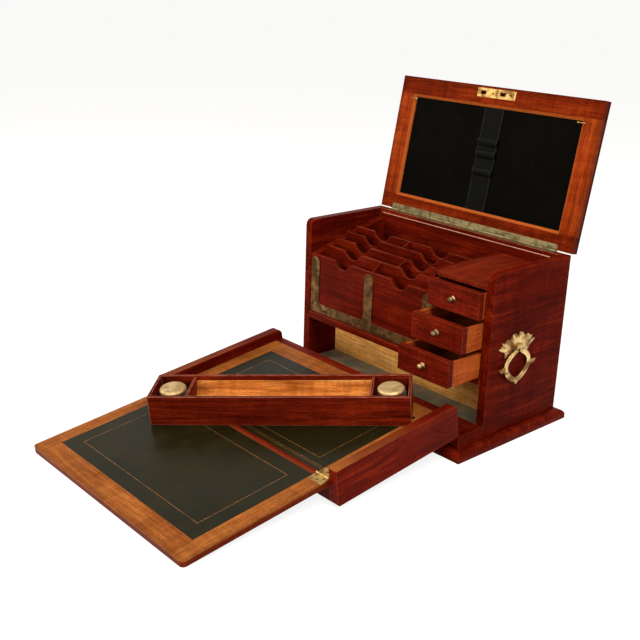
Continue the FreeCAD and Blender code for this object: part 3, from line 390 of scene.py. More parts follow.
@dataclass(frozen=True)
class BoardJoints:
    """Where a framed board's side pieces meet its end pieces, and how its edges differ.

    Lengths are in millimetres on the board's plane.

    Attributes:
        plane: The board's plane.
        half_between: Half the width between side pieces that run right through, or 0 where
            the end pieces run through.
        ends: Where the side pieces start and stop along the plane, when the ends run through.
        seam: Half width of the dark joint line.
        rim: Distances from the middle and along, past which the board is painted darker towards its outer
            rim.
        rim_fade: Width over which it darkens.
        under: Depth under the face below which the board's edge is painted darker, as painted shade on its
            underside, or 0.
        under_shade: Tone of that painted shade.
        hinge_strip: Width of the redder strip along the hinge line, or 0.
        hinge_red: Colour of that strip.
        opening: Half width, start and end of a bevelled opening, or zeros.
        bevel: Width of the bevel round the opening.
        bevel_colour: Colour of the bevel.
        rail_tone: Tone of the end pieces of a board with an opening.
        inside: Depths between which such a board's outside turns to its inside.
        outside_tone: Tone of its outside.
    """

    plane: Plane
    half_between: float = 0.0
    ends: Pair = (0.0, 0.0)
    seam: float = 0.35
    rim: Pair = (0.0, 0.0)
    rim_fade: float = 12.0
    under: float = 0.0
    under_shade: Colour = (0.50, 0.14, 0.18, 1.0)
    hinge_strip: float = 0.0
    hinge_red: Colour = linear(112, 26, 12)
    opening: Triple = (0.0, 0.0, 0.0)
    bevel: float = 4.0
    bevel_colour: Colour = linear(196, 104, 46)
    rail_tone: Colour = (0.50, 0.27, 0.22, 1.0)
    inside: Pair = (-8.0, -7.0)
    outside_tone: Colour = (0.42, 0.16, 0.30, 1.0)

    def past(self, bench: Bench) -> Socket:
        """Measure how far a point lies past the joint, into a side piece.

        Args:
            bench: The material being made.

        Returns:
            The distance's socket, in metres.
        """
        if self.half_between:
            return bench.minus(bench.size(bench.across(self.plane)), self.half_between * MM)
        middle = (self.ends[0] + self.ends[1]) / 2
        offset = bench.size(bench.minus(bench.along(self.plane), middle * MM))
        return bench.minus((self.ends[1] - middle) * MM, offset)

    def sides(self, bench: Bench) -> tuple[Socket, Socket]:
        """Tell the side pieces from the end pieces.

        Args:
            bench: The material being made.

        Returns:
            A mask that is 1 on the side pieces, and one that is 1 on the joint lines.
        """
        past = self.past(bench)
        line = bench.spread(bench.size(past), 0.0, self.seam * MM, 1.0, 0.0)
        return bench.sum("GREATER_THAN", past, 0.0), line

    def shade(self, bench: Bench, colour: Socket, seam: Socket, dark: Colour) -> Socket:
        """Add the board's joint lines and everything that makes its edges differ.

        Args:
            bench: The material being made.
            colour: The wood's colour.
            seam: Mask of the joint lines.
            dark: The wood's dark colour.

        Returns:
            The colour's socket.
        """
        colour = bench.tone(colour, dark, seam, 0.75)
        # Darker towards the board's outer rim.
        if self.rim[0]:
            colour = bench.tone(colour, dark, self.rim_mask(bench), 0.55)
        # Painted shade: the lower part of the board's edge is darkened as if its underside lay in shadow.
        if self.under:
            below = -self.under * MM
            edge = bench.spread(bench.height(self.plane), below - 0.3 * MM, below, 1.0, 0.0)
            colour = bench.tone(colour, self.under_shade, edge, 0.9, "MULTIPLY")
        if self.opening[0]:
            colour = self.shade_opening(bench, colour)
        if self.hinge_strip:
            width = self.hinge_strip * MM
            strip = bench.spread(bench.size(bench.along(self.plane)), width - 0.5 * MM, width, 1.0, 0.0)
            colour = bench.tone(colour, self.hinge_red, strip, 0.85)
        return colour

    def shade_opening(self, bench: Bench, colour: Socket) -> Socket:
        """Tone a board's end pieces, the bevel round its opening and its outside.

        Args:
            bench: The material being made.
            colour: The wood's colour.

        Returns:
            The colour's socket.
        """
        rails = bench.minus(1.0, self.sides(bench)[0])
        colour = bench.tone(colour, self.rail_tone, rails, 0.75, "MULTIPLY")
        low, high = self.inside
        inside = bench.spread(bench.height(self.plane), low * MM, high * MM, 0.0, 1.0)
        bevel = bench.times(self.round_opening(bench), inside)
        colour = bench.tone(colour, self.bevel_colour, bevel, 0.6)
        return bench.tone(colour, self.outside_tone, bench.minus(1.0, inside), 1.0, "MULTIPLY")

    def round_opening(self, bench: Bench) -> Socket:
        """Find the bevel round the opening.

        Args:
            bench: The material being made.

        Returns:
            A mask that is 1 on the bevel.
        """
        half, start, end = self.opening
        aside = bench.minus(bench.size(bench.across(self.plane)), half * MM)
        along = bench.minus(bench.along(self.plane), (start + end) / 2 * MM)
        beyond = bench.minus(bench.size(along), (end - start) / 2 * MM)
        gap = bench.sum("MAXIMUM", aside, beyond)
        return bench.spread(gap, (self.bevel - 0.6) * MM, self.bevel * MM, 1.0, 0.0)

    def rim_mask(self, bench: Bench) -> Socket:
        """Find the outer rim, which is painted darker.

        Args:
            bench: The material being made.

        Returns:
            A mask that is 1 at the rim.
        """
        places = (bench.size(bench.across(self.plane)), bench.along(self.plane))
        side, end = [bench.spread(place, limit * MM, (limit + self.rim_fade) * MM, 0.0, 1.0)
                     for place, limit in zip(places, self.rim)]
        return bench.sum("MAXIMUM", side, end)


@dataclass(frozen=True)
class BleachAndTopLight:
    """How hands and sunlight have paled a board's upward faces, most at its free end; the paling also stands
    for painted light on those faces.

    Attributes:
        plane: Plane of the writing surface.
        colour: Colour of the palest wood.
        start: Place along the plane, in millimetres, where it starts to pale.
        full: Place where it is palest.
    """

    plane: Plane
    colour: Colour
    start: float = -150.0
    full: float = -20.0

    def lay(self, bench: Bench, colour: Socket, cloud: Socket) -> Socket:
        """Pale a wood's colour: partly real fading, partly painted light on its upward faces.

        Args:
            bench: The material being made.
            colour: The wood's colour.
            cloud: Slow noise, which makes it patchy.

        Returns:
            The colour's socket.
        """
        # Painted light: faces turned up along the slope's normal are paled, partly as real fading, partly as
        # the light falling on them.
        facing = bench.node("TexCoord").outputs["Normal"]
        upward = bench.vector("DOT_PRODUCT", facing, tuple(self.plane.out))["Value"]
        flat = bench.spread(upward, 0.80, 0.95, 0.0, 1.0)
        near = bench.spread(bench.along(self.plane), self.start * MM, self.full * MM, 0.0, 0.9)
        patchy = bench.spread(cloud, 0.34, 0.56, 0.35, 1.0)
        return bench.blend(bench.times(bench.times(flat, near), patchy), colour, self.colour)


@dataclass(frozen=True)
class PolishedWood:
    """Mahogany or another wood under French polish.

    Attributes:
        name: Name of the finish.
        dark: Colour of the dark figure.
        body: Main colour.
        light: Colour of the light figure.
        worn: Colour of the rubbed arrises, lighter also as a painted highlight along them.
        grain: The way the grain runs; on a framed board, in its end pieces.
        gloss: Roughness of the polish.
        wear_highlight: How much of an edge is rubbed and painted with highlight, 0 to 1.
        curl: How much of a cross figure the wood shows, 0 to 1.
        contrast: How strong the broad figure is, 0 to 1.
        round_off: Width of the rubbed, highlighted arrises, in millimetres.
        shine: Strength of the polish's reflections.
        shine_tint: Colour of the polish's reflections.
        bleached: How its upward side has faded and is painted lighter as if lit, if it is.
        side_grain: The way the grain runs in a framed board's side pieces.
        joints: The joints of a framed board.
        clouds: Soft patches per metre, along the grain and both ways across it.
        streaks: Streaks per metre, likewise, and so for the next five fields.
        broad: Bands of the broad figure.
        pores: Pores.
        curls: Bands of the cross figure.
        breaks: Breaks in the rubbed, highlighted arrises.
        ripples: Ripples in the polish.
        streak_tones: Tones that the streaks run through.
        cloud_tones: Tones of the soft patches.
        curl_tones: Tones of the cross figure.
    """

    name: str
    dark: Colour
    body: Colour
    light: Colour
    worn: Colour
    grain: Grain = Grain.ACROSS
    gloss: float = 0.30
    wear_highlight: float = 0.75
    curl: float = 0.25
    contrast: float = 0.35
    round_off: float = 0.8
    shine: float = 0.03
    shine_tint: Colour = linear(255, 170, 130)
    bleached: BleachAndTopLight | None = None
    side_grain: Grain = Grain.DOWN_THE_SLOPE
    joints: BoardJoints | None = None
    clouds: Triple = (9, 17, 17)
    streaks: Triple = (26, 520, 520)
    broad: Triple = (5, 70, 70)
    pores: Triple = (170, 1500, 1500)
    curls: Triple = (85, 14, 14)
    breaks: Triple = (60, 110, 110)
    ripples: Triple = (12, 26, 26)
    streak_tones: tuple = ((0.34, (0.62, 0.54, 0.50, 1)), (0.62, (1.20, 1.20, 1.20, 1)))
    cloud_tones: tuple = ((0.32, (0.70, 0.62, 0.58, 1)), (0.66, (1.22, 1.24, 1.24, 1)))
    curl_tones: tuple = ((0.36, (0.60, 0.52, 0.46, 1)), (0.62, (1.30, 1.32, 1.30, 1)))

    def apply(self, bench: Bench) -> None:
        """Build the finish: figure, streaks, pores, rubbed edges with painted highlights, and polish.

        Args:
            bench: The bench of its material.
        """
        spot, seam = self.run_of_grain(bench)
        cloud = bench.noise(spot, self.clouds, 3.0, 0.5)
        streaks = bench.noise(spot, self.streaks, 3.0, 0.3)
        colour = self.figure(bench, spot, cloud, streaks)
        if self.joints is not None:
            colour = self.joints.shade(bench, colour, seam, self.dark)
        if self.bleached is not None:
            colour = self.bleached.lay(bench, colour, cloud)
        # Rubbed arrises painted lighter: partly real rubbing, partly painted highlight along the edges.
        rounded, edge = bench.arris(self.round_off, 0.16)
        broken = bench.spread(bench.noise(spot, self.breaks), 0.36, 0.60, 0.35, 1.0)
        colour = bench.tone(colour, self.worn, bench.times(edge, broken), self.wear_highlight)
        normal = bench.bump(bench.noise(spot, self.ripples, 2.0), 0.30, 0.30, rounded)
        normal = bench.bump(streaks, 0.05, 0.35, normal)
        rough = bench.spread(cloud, 0.3, 0.7, self.gloss - 0.05, self.gloss + 0.12)
        bench.dress({"Base Color": colour, "Roughness": rough, "Normal": normal,
                     "Specular IOR Level": self.shine, "Specular Tint": self.shine_tint})

    def run_of_grain(self, bench: Bench) -> tuple[Socket, Socket | None]:
        """Turn the coordinates with the grain, board by board on a framed one.

        Args:
            bench: The material being made.

        Returns:
            The coordinates, and the mask of the joint lines where there are any.
        """
        place = bench.shifted()
        spot = bench.turned(place, self.grain)
        if self.joints is None:
            return spot, None
        sides, seam = self.joints.sides(bench)
        across = bench.turned(place, self.side_grain)
        return bench.node("Mix", {0: sides, 4: spot, 5: across}, data_type="VECTOR").outputs[1], seam

    def figure(self, bench: Bench, spot: Socket, cloud: Socket, streaks: Socket) -> Socket:
        """Colour the wood: broad figure, cross curl, streaks and pores.

        Args:
            bench: The material being made.
            spot: The coordinates, with the grain along X.
            cloud: Slow noise.
            streaks: Fine noise along the grain.

        Returns:
            The colour's socket.
        """
        broad = bench.noise(spot, self.broad, 5.0, 1.6)
        figure = bench.ramp(broad, ((0.30, self.dark), (0.5, self.body), (0.70, self.light)))
        colour = bench.blend(self.contrast, self.body, figure)
        curl = bench.noise(spot, self.curls, 3.0, 0.8)
        for noise, tones, share in ((streaks, self.streak_tones, 0.7), (cloud, self.cloud_tones, 0.7),
                                    (curl, self.curl_tones, self.curl)):
            colour = bench.blend(share, colour, bench.ramp(noise, tones), "MULTIPLY")
        pore = bench.spread(bench.noise(spot, self.pores, 2.0), 0.33, 0.44, 0.7, 0.0)
        return bench.blend(pore, colour, self.dark)


@dataclass(frozen=True)
class DeskLeather:
    """Polished leather with a fine grain and rubbed patches.

    Attributes:
        name: Name of the finish.
        body: Main colour.
        rubbed: Colour of the rubbed patches.
        roughness: Roughness of the surface.
        pebble: Grain cells per metre.
        crease: Depth of the creases, in millimetres.
        shine: Strength of the reflections.
        cast: Tint of the reflections.
        scuffs: Scuffs per metre along each axis.
        clouds: Soft patches per metre along each axis.
    """

    name: str
    body: Colour
    rubbed: Colour
    roughness: float
    pebble: float = 1100.0
    crease: float = 0.5
    shine: float = 0.085
    cast: Colour = (1.0, 0.86, 0.62, 1.0)
    scuffs: Triple = (34, 21, 27)
    clouds: Triple = (7, 9, 8)

    def apply(self, bench: Bench) -> None:
        """Build the finish: pebbled grain, scuffs and a soft shine.

        Args:
            bench: The bench of its material.
        """
        spot = bench.shifted()
        scuffs = bench.noise(spot, self.scuffs, 6.0, 0.8)
        cloud = bench.noise(spot, self.clouds)
        colour = bench.blend(bench.spread(scuffs, 0.48, 0.72, 0.0, 0.6), self.body, self.rubbed)
        colour = bench.blend(bench.spread(cloud, 0.35, 0.65, 0.0, 0.35), colour, self.rubbed)
        cells = bench.node("TexVoronoi", {"Vector": spot, "Scale": self.pebble}).outputs["Distance"]
        normal = bench.bump(bench.spread(cells, 0.0, 0.8, 1.0, 0.0), 0.10, 0.30)
        normal = bench.bump(scuffs, self.crease, 0.3, normal)
        rough = bench.spread(scuffs, 0.3, 0.7, self.roughness - 0.07, self.roughness + 0.12)
        bench.dress({"Base Color": colour, "Roughness": rough, "Normal": normal,
                     "Specular IOR Level": self.shine, "Specular Tint": self.cast})


@dataclass(frozen=True)
class StitchedStrap:
    """A leather strap with a row of stitches along both edges.

    Attributes:
        name: Name of the finish.
        body: Main colour.
        thread: Colour of the thread.
        middle: Place of the strap's middle across the lid, in millimetres.
        row: Distance of the stitches from its middle.
        stitch: Length of a stitch and the gap after it.
        sewn: Share of that length which the stitch takes.
        thread_half: Half the thread's width, where it starts to fade and where it has.
    """

    name: str
    body: Colour
    thread: Colour
    middle: float = 1.5
    row: float = 16.6
    stitch: float = 2.6
    sewn: float = 0.62
    thread_half: Pair = (0.25, 0.45)

    def apply(self, bench: Bench) -> None:
        """Build the finish: fine grain, and thread where the stitches show.

        Args:
            bench: The bench of its material.
        """
        across = bench.minus(bench.across(LID), self.middle * MM)
        aside = bench.size(bench.minus(bench.size(across), self.row * MM))
        full, gone = self.thread_half
        row = bench.spread(aside, full * MM, gone * MM, 1.0, 0.0)
        along = bench.sum("DIVIDE", bench.along(LID), self.stitch * MM)
        stitches = bench.times(row, bench.sum("LESS_THAN", bench.sum("FRACT", along), self.sewn))
        creases = bench.noise(bench.shifted(), (60, 60, 60), 4.0, 0.5)
        normal = bench.bump(stitches, 0.25, 0.6, bench.bump(creases, 0.4, 0.3))
        bench.dress({"Base Color": bench.blend(stitches, self.body, self.thread), "Roughness": 0.42,
                     "Normal": normal, "Specular IOR Level": 0.04})


@dataclass(frozen=True)
class OldBrass:
    """Brass with patches of tarnish and a shine on its edges.

    Attributes:
        name: Name of the finish.
        bright: Colour of the clean metal.
        dull: Colour of the tarnish.
        tarnish: How much of the surface is tarnished, 0 to 1.
        roughness: Roughness of the clean metal.
        patch: Tarnish patches per metre.
        rounding: Radius that the edges look rounded to, in millimetres.
        bright_edges: Whether the edges are rubbed bright.
    """

    name: str
    bright: Colour
    dull: Colour
    tarnish: float
    roughness: float
    patch: float = 90.0
    rounding: float = 0.5
    bright_edges: bool = True

    def apply(self, bench: Bench) -> None:
        """Build the finish: clean and tarnished metal and bright edges.

        Args:
            bench: The bench of its material.
        """
        spot = bench.shifted()
        patches = bench.noise(spot, (self.patch,) * 3, 6.0, 0.6)
        rounded, edge = bench.arris(self.rounding, 0.35)
        cover = bench.spread(patches, 0.62 - 0.5 * self.tarnish, 0.72 - 0.25 * self.tarnish, 0.0, 1.0)
        if self.bright_edges:
            cover = bench.sum("SUBTRACT", cover, edge, True)
        rough = bench.spread(cover, 0.0, 1.0, self.roughness, self.roughness + 0.22)
        normal = bench.bump(bench.noise(spot, (700, 700, 700), 2.0), 0.04, 0.25, rounded)
        normal = bench.bump(bench.noise(spot, (60, 900, 900), 2.0), 0.02, 0.30, normal)
        bench.dress({"Base Color": bench.blend(cover, self.bright, self.dull), "Metallic": 1.0,
                     "Roughness": rough, "Normal": normal})


@dataclass(frozen=True)
class Baize:
    """Worn woollen baize.

    Attributes:
        name: Name of the finish.
        body: Main colour.
        dusty: Colour of the dusty patches.
    """

    name: str
    body: Colour
    dusty: Colour

    def apply(self, bench: Bench) -> None:
        """Build the finish: felted fibres and dust.

        Args:
            bench: The bench of its material.
        """
        spot = bench.shifted()
        fibres = bench.noise(spot, (1500, 1500, 1500), 4.0, 1.0)
        dust = bench.spread(bench.noise(spot, (30, 30, 30), 4.0, 0.6), 0.4, 0.65, 0.0, 0.8)
        bench.dress({"Base Color": bench.blend(dust, self.body, self.dusty), "Roughness": 0.95,
                     "Normal": bench.bump(fibres, 0.3, 0.6), "Sheen Weight": 0.4, "Specular IOR Level": 0.2})


@dataclass(frozen=True)
class InkGlass:
    """Thick pressed glass, faintly green.

    Attributes:
        name: Name of the finish.
        tint: Colour of the glass.
    """

    name: str
    tint: Colour

    def apply(self, bench: Bench) -> None:
        """Build the finish: clear glass with a slightly wavy surface.

        Args:
            bench: The bench of its material.
        """
        waves = bench.noise(bench.shifted(), (120, 120, 120), 2.0)
        bench.dress({"Base Color": self.tint, "Roughness": 0.05, "Transmission Weight": 0.85,
                     "IOR": 1.5, "Normal": bench.bump(waves, 0.1, 0.2)})


# ----------------------------------------------------------------- finishes
FADED_BODY = linear(156, 92, 42)


def mahogany(name: str, grain: Grain, wear_highlight: float = 0.55, **changes: object) -> PolishedWood:
    """Give the case's dark red French-polished mahogany.

    Args:
        name: Name of the finish.
        grain: The way the grain runs.
        wear_highlight: How much of an edge is rubbed and painted with highlight.
        **changes: Other fields of the finish.

    Returns:
        The finish.
    """
    fields = {"dark": linear(28, 4, 2), "body": linear(100, 20, 6), "light": linear(152, 48, 15),
              "worn": linear(178, 86, 46), "grain": grain, "wear_highlight": wear_highlight, "contrast": 0.45}
    return PolishedWood(name, **(fields | changes))


def faded(name: str, joints: BoardJoints) -> PolishedWood:
    """Give the paler, faded mahogany round the writing surface."""
    return PolishedWood(name, linear(92, 44, 16), FADED_BODY, linear(182, 118, 58), linear(190, 132, 78),
                        gloss=0.34, curl=0.35, wear_highlight=0.6, joints=joints)


def woods() -> list[PolishedWood]:
    """Give the cabinet's woods.

    Returns:
        Their finishes.
    """
    flap_joints = BoardJoints(SLOPE, half_between=149.0, rim=(166.0, 200.0), under=2.4, hinge_strip=5.4)
    fall_joints = BoardJoints(SLOPE, half_between=149.0, hinge_strip=3.6)
    lid_joints = BoardJoints(LID, ends=(24.0, 184.0), opening=(154.0, 27.0, 179.0), rim=(176.0, 199.0))
    strip_highlight = linear(236, 190, 170)
    return [
        mahogany("mahogany_across", Grain.ACROSS),
        mahogany("mahogany_backward", Grain.BACKWARD),
        mahogany("mahogany_upright", Grain.UPRIGHT),
        mahogany("panel_mahogany", Grain.BACKWARD, 0.6, body=linear(94, 17, 5), curl=0.4, contrast=0.4,
                 shine=0.012),
        # The walls' upward faces are paled, partly as painted light on their tops.
        mahogany("wall_mahogany", Grain.DOWN_THE_SLOPE, 0.9, body=linear(104, 21, 7), round_off=1.1,
                 bleached=BleachAndTopLight(SLOPE, FADED_BODY)),
        # The pale arris colours of the rack, back board and tray also paint the highlights on their edges.
        mahogany("rack_mahogany", Grain.ACROSS, 1.0, worn=linear(176, 88, 58), round_off=1.2),
        mahogany("back_mahogany", Grain.ACROSS, 1.0, worn=linear(214, 140, 104), round_off=1.4),
        mahogany("front_mahogany", Grain.ACROSS, 0.9, body=linear(106, 25, 11), light=linear(142, 50, 22),
                 curl=0.4),
        mahogany("tray_mahogany", Grain.ALONG_THE_TRAY, 1.0, body=linear(104, 27, 11),
                 worn=linear(214, 150, 122), round_off=1.6, contrast=0.6),
        mahogany("drawer_mahogany", Grain.BACKWARD, 0.8, dark=linear(110, 40, 16), body=linear(178, 84, 36),
                 light=linear(208, 116, 60)),
        mahogany("lid_mahogany", Grain.ACROSS, 0.8, dark=linear(52, 12, 5), body=linear(150, 57, 18),
                 light=linear(184, 88, 34), curl=0.45, side_grain=Grain.UP_THE_LID, joints=lid_joints),
        mahogany("top_mahogany", Grain.BACKWARD, 1.0, body=linear(114, 32, 14), light=linear(142, 56, 28)),
        faded("flap_wood", flap_joints),
        faded("fall_wood", fall_joints),
        PolishedWood("trough_maple", linear(140, 66, 22), linear(222, 142, 66), linear(246, 188, 106),
                     linear(250, 206, 150), Grain.ALONG_THE_TRAY, 0.36, 0.4, 0.4, 0.75),
        PolishedWood("bay_pine", linear(190, 116, 46), linear(255, 190, 104), linear(255, 214, 142),
                     linear(250, 206, 140), Grain.ACROSS, 0.5, 0.3, 0.2),
        # Pale finish of the strip that paints the back board's lit top edge.
        PolishedWood("bare_strip", linear(190, 130, 106), linear(224, 168, 146), strip_highlight, strip_highlight,
                     Grain.ACROSS, 0.5, 0.2, 0.1),
    ]


def finishes() -> dict[str, Material]:
    """Make every finish of the cabinet.

    Returns:
        The materials by name.
    """
    recipes = woods() + [
        DeskLeather("desk_leather", linear(24, 22, 8), linear(42, 37, 16), 0.30),
        DeskLeather("lid_leather_black", linear(4, 4, 3), linear(11, 11, 8), 0.40, 900.0, 2.4, 0.015),
        StitchedStrap("strap_leather", linear(7, 7, 5), linear(56, 50, 36)),
        OldBrass("hinge_brass", linear(134, 120, 84), linear(98, 88, 58), 0.4, 0.46),
        OldBrass("screw_brass", linear(96, 74, 44), linear(60, 42, 24), 0.5, 0.4),
        OldBrass("dull_brass", linear(128, 94, 54), linear(74, 50, 27), 0.5, 0.42),
        OldBrass("knob_brass", linear(186, 152, 108), linear(96, 70, 44), 0.45, 0.30),
        OldBrass("fitting_brass", linear(208, 170, 102), linear(128, 94, 48), 0.50, 0.34),
        OldBrass("handle_brass", linear(232, 198, 134), linear(122, 84, 42), 0.52, 0.24, 55.0, 0.4, False),
        OldBrass("cap_brass", linear(204, 174, 124), linear(160, 132, 88), 0.45, 0.46, 60.0, 2.2),
        OldBrass("gilt", linear(184, 128, 70), linear(112, 78, 42), 0.5, 0.4),
        Baize("bay_baize", linear(92, 84, 52), linear(150, 132, 88)),
        InkGlass("inkwell_glass", linear(206, 226, 218)),
    ]
    palette = {recipe.name: bpy.data.materials.new(recipe.name) for recipe in recipes}
    for recipe in recipes:
        recipe.apply(Bench(palette[recipe.name]))
    return palette


# -------------------------------------------------------------------- pieces
def turns(steps: int) -> list[float]:
    """Share out a full turn, in radians."""
    return [2 * math.pi * n / steps for n in range(steps)]


def eased(stations: Limb, steps: int = 5, least: float = 0.3) -> Limb:
    """Run a smooth curve through a limb's stations.

    Args:
        stations: The stations.
        steps: Pieces between two of them.
        least: The smallest half width, in millimetres.

    Returns:
        The stations of the smooth limb.
    """
    points = [Vector(station) for station in stations]
    ends = [points[0] * 2 - points[1], *points, points[-1] * 2 - points[-2]]
    smooth = []
    for a, b, c, d in zip(ends, ends[1:], ends[2:], ends[3:]):
        for n in range(steps):
            t = n / steps
            spot = (b * 2 + (c - a) * t + (a * 2 - b * 5 + c * 4 - d) * t * t
                    + (b * 3 - a - c * 3 + d) * t * t * t) / 2
            smooth.append((spot.x, spot.y, max(spot.z, least)))
    return (*smooth, stations[-1])


def mirrored(stations: Limb, side: int) -> Limb:
    """Give a limb, or its mirror image when the side is -1."""
    return tuple((side * across, along, width) for across, along, width in stations)


@dataclass(frozen=True)
class Tooling:
    """Where a gilt line runs around a leather, in millimetres on its plane.

    Attributes:
        half_x: Half the width of the rectangle.
        start: Where the rectangle starts.
        end: Where it ends.
        thick: Width of the line.
        lift: How far its gold stands over the leather.
    """

    half_x: float
    start: float
    end: float
    thick: float = 0.55
    lift: float = 0.12


class Shape:
    """A mesh in the making, in metres and in place."""

    def __init__(self) -> None:
        """Start with nothing."""
        self.mesh = bmesh.new()

    def ring(self, spots: list[Vector]) -> Ring:
        """Add a ring of points."""
        return [self.mesh.verts.new(spot) for spot in spots]

    def bridge(self, rings: list[Ring], capped: bool = True) -> None:
        """Skin rings of points, one after another.

        Args:
            rings: The rings. The last may be one point, as a tip.
            capped: Whether both ends are closed. Otherwise the last ring joins the first.
        """
        after = rings[1:] if capped else rings[1:] + rings[:1]
        if capped:
            self.mesh.faces.new(list(reversed(rings[0])))
        for low, high in zip(rings, after):
            for n, vert in enumerate(low):
                beside = (n + 1) % len(low)
                tip = [high[0]] if len(high) == 1 else [high[beside], high[n]]
                self.mesh.faces.new([vert, low[beside], *tip])
        if capped and len(rings[-1]) > 1:
            self.mesh.faces.new(rings[-1])

    def turning(self, place: Matrix, profile: Profile, steps: int = 32) -> None:
        """Add a turned shape.

        Args:
            place: Matrix whose Z is the turning's axis.
            profile: Radii and heights in millimetres, from the foot's rim to the tip.
            steps: Segments around.
        """
        rings = []
        for radius, height in profile:
            spots = [Vector((radius * math.cos(angle), radius * math.sin(angle), height)) * MM
                     for angle in (turns(steps) if radius > 0 else [0.0])]
            rings.append(self.ring([place @ spot for spot in spots]))
        self.bridge(rings)

    def limb(self, plane: Plane, stations: Limb, half_thick: float, middle: float, steps: int = 20) -> None:
        """Add a flattened, tapered limb that follows a smooth line on a plane.

        Args:
            plane: The plane that the limb lies along.
            stations: Place across, place along and half width of the limb, one after another.
            half_thick: Half its thickness at its widest place, in millimetres.
            middle: Height of its middle over the plane.
            steps: Segments around it.
        """
        stations = eased(stations)
        widest = max(width for _, _, width in stations)
        rings = []
        for n, (across, along, width) in enumerate(stations):
            before = stations[max(n - 1, 0)]
            after = stations[min(n + 1, len(stations) - 1)]
            run = Vector((after[0] - before[0], after[1] - before[1])).normalized()
            thick = half_thick * math.sqrt(width / widest)
            spots = []
            for angle in turns(steps):
                aside, out = width * math.cos(angle), middle + thick * math.sin(angle)
                spots.append(plane.at(across - run.y * aside, along + run.x * aside, out))
            rings.append(self.ring(spots))
        self.bridge(rings)

    def tube(self, plane: Plane, reach: Pair, half: float, middle: float, steps: int = 32) -> None:
        """Add a bored tube that lies across a plane.

        Args:
            plane: The plane.
            reach: Radius of the tube and of its bore, in millimetres.
            half: Half its length.
            middle: Height of its axis over the plane.
            steps: Segments around.
        """
        outer, inner = reach
        rings = []
        for radius, across in ((outer, -half), (outer, half), (inner, half), (inner, -half)):
            spots = [plane.at(across, radius * math.cos(angle), middle + radius * math.sin(angle))
                     for angle in turns(steps)]
            rings.append(self.ring(spots))
        self.bridge(rings, capped=False)

    def line_frame(self, plane: Plane, line: Tooling) -> None:
        """Add a tooled line around a rectangle, with mitred corners.

        Args:
            plane: The plane of the leather.
            line: Where it runs.
        """
        rings = []
        for inset, height in ((0.0, 0.0), (0.0, line.lift), (line.thick, line.lift), (line.thick, 0.0)):
            across = (inset - line.half_x, line.half_x - inset)
            rings.append(self.ring(plane.oblong(across, (line.start + inset, line.end - inset), height)))
        self.bridge(rings, capped=False)

    def bar(self, plane: Plane, across: Pair, along: Pair, high: float) -> None:
        """Add a straight bar that lies on a plane, between limits across and along it."""
        self.bridge([self.ring(plane.oblong(across, along, height)) for height in (0.0, high)])

    def screw(self, place: Matrix, radius: float, slot: float = 0.45, proud: float = 0.3) -> None:
        """Add a countersunk screw head with its slot.

        Args:
            place: Matrix whose Z leads out of the screw and whose X lies along the slot.
            radius: Radius of the head, in millimetres.
            slot: Width of the slot.
            proud: How far the head stands out.
        """
        self.turning(place, ((radius, -0.3), (radius, 0.05)), 24)
        dome = ((radius, 0.0), (radius * 0.92, proud * 0.6), (radius * 0.5, proud))
        for side in (-1, 1):
            half = Shape()
            half.turning(Matrix.Identity(4), dome, 24)
            whole = half.mesh.verts[:] + half.mesh.edges[:] + half.mesh.faces[:]
            cut, away = Vector((0, side * slot / 2 * MM, 0)), Vector((0, -side, 0))
            found = bmesh.ops.bisect_plane(half.mesh, geom=whole, plane_co=cut, plane_no=away,
                                           clear_outer=True)
            rim = [entry for entry in found["geom_cut"] if isinstance(entry, bmesh.types.BMEdge)]
            bmesh.ops.edgeloop_fill(half.mesh, edges=rim)
            half.mesh.transform(place)
            self.take(half)

    def take(self, other: "Shape") -> None:
        """Copy another shape into this one and free it.

        Args:
            other: The other shape.
        """
        copies = {vert: self.mesh.verts.new(vert.co) for vert in other.mesh.verts}
        for face in other.mesh.faces:
            self.mesh.faces.new([copies[vert] for vert in face.verts])
        other.mesh.free()

    def fuse(self, voxel: float = 0.4, rounds: int = 4) -> None:
        """Fuse overlapping solids into one skin and soften it.

        Args:
            voxel: Size of the grid that they are fused on, in millimetres.
            rounds: Rounds of smoothing.
        """
        data = bpy.data.meshes.new("fusing")
        self.mesh.to_mesh(data)
        rough = bpy.data.objects.new("fusing", data)
        bpy.context.scene.collection.objects.link(rough)
        remesh = rough.modifiers.new("fuse", "REMESH")
        remesh.mode = "VOXEL"
        remesh.voxel_size = voxel * MM
        soften = rough.modifiers.new("soften", "SMOOTH")
        soften.iterations = rounds
        bpy.context.view_layer.update()
        ready = rough.evaluated_get(bpy.context.evaluated_depsgraph_get())
        self.mesh.clear()
        self.mesh.from_mesh(ready.to_mesh())
        ready.to_mesh_clear()
        bpy.data.objects.remove(rough)
        bpy.data.meshes.remove(data)

    def piece(self, name: str, finish: Material, body: str, slot: str = "brass",
              smooth: bool = True) -> bpy.types.Object:
        """Turn the mesh into a piece that rides on a body, and free it.

        Args:
            name: The piece's name.
            finish: Its finish.
            body: The body that it moves with.
            slot: The record's slot for its finish; not used.
            smooth: Whether its faces are shaded smooth across soft edges.

        Returns:
            The piece.
        """
        bmesh.ops.recalc_face_normals(self.mesh, faces=self.mesh.faces)
        for face in self.mesh.faces:
            face.smooth = smooth
        for edge in self.mesh.edges:
            if len(edge.link_faces) == 2 and edge.calc_face_angle() > SHARP_EDGE:
                edge.smooth = False
        data = bpy.data.meshes.new(name)
        self.mesh.to_mesh(data)
        self.mesh.free()
        data.materials.append(finish)
        piece = bpy.data.objects.new(name, data)
        bpy.context.scene.collection.objects.link(piece)
        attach(piece, body)
        LOG.info("piece %s on %s", name, body)
        return piece


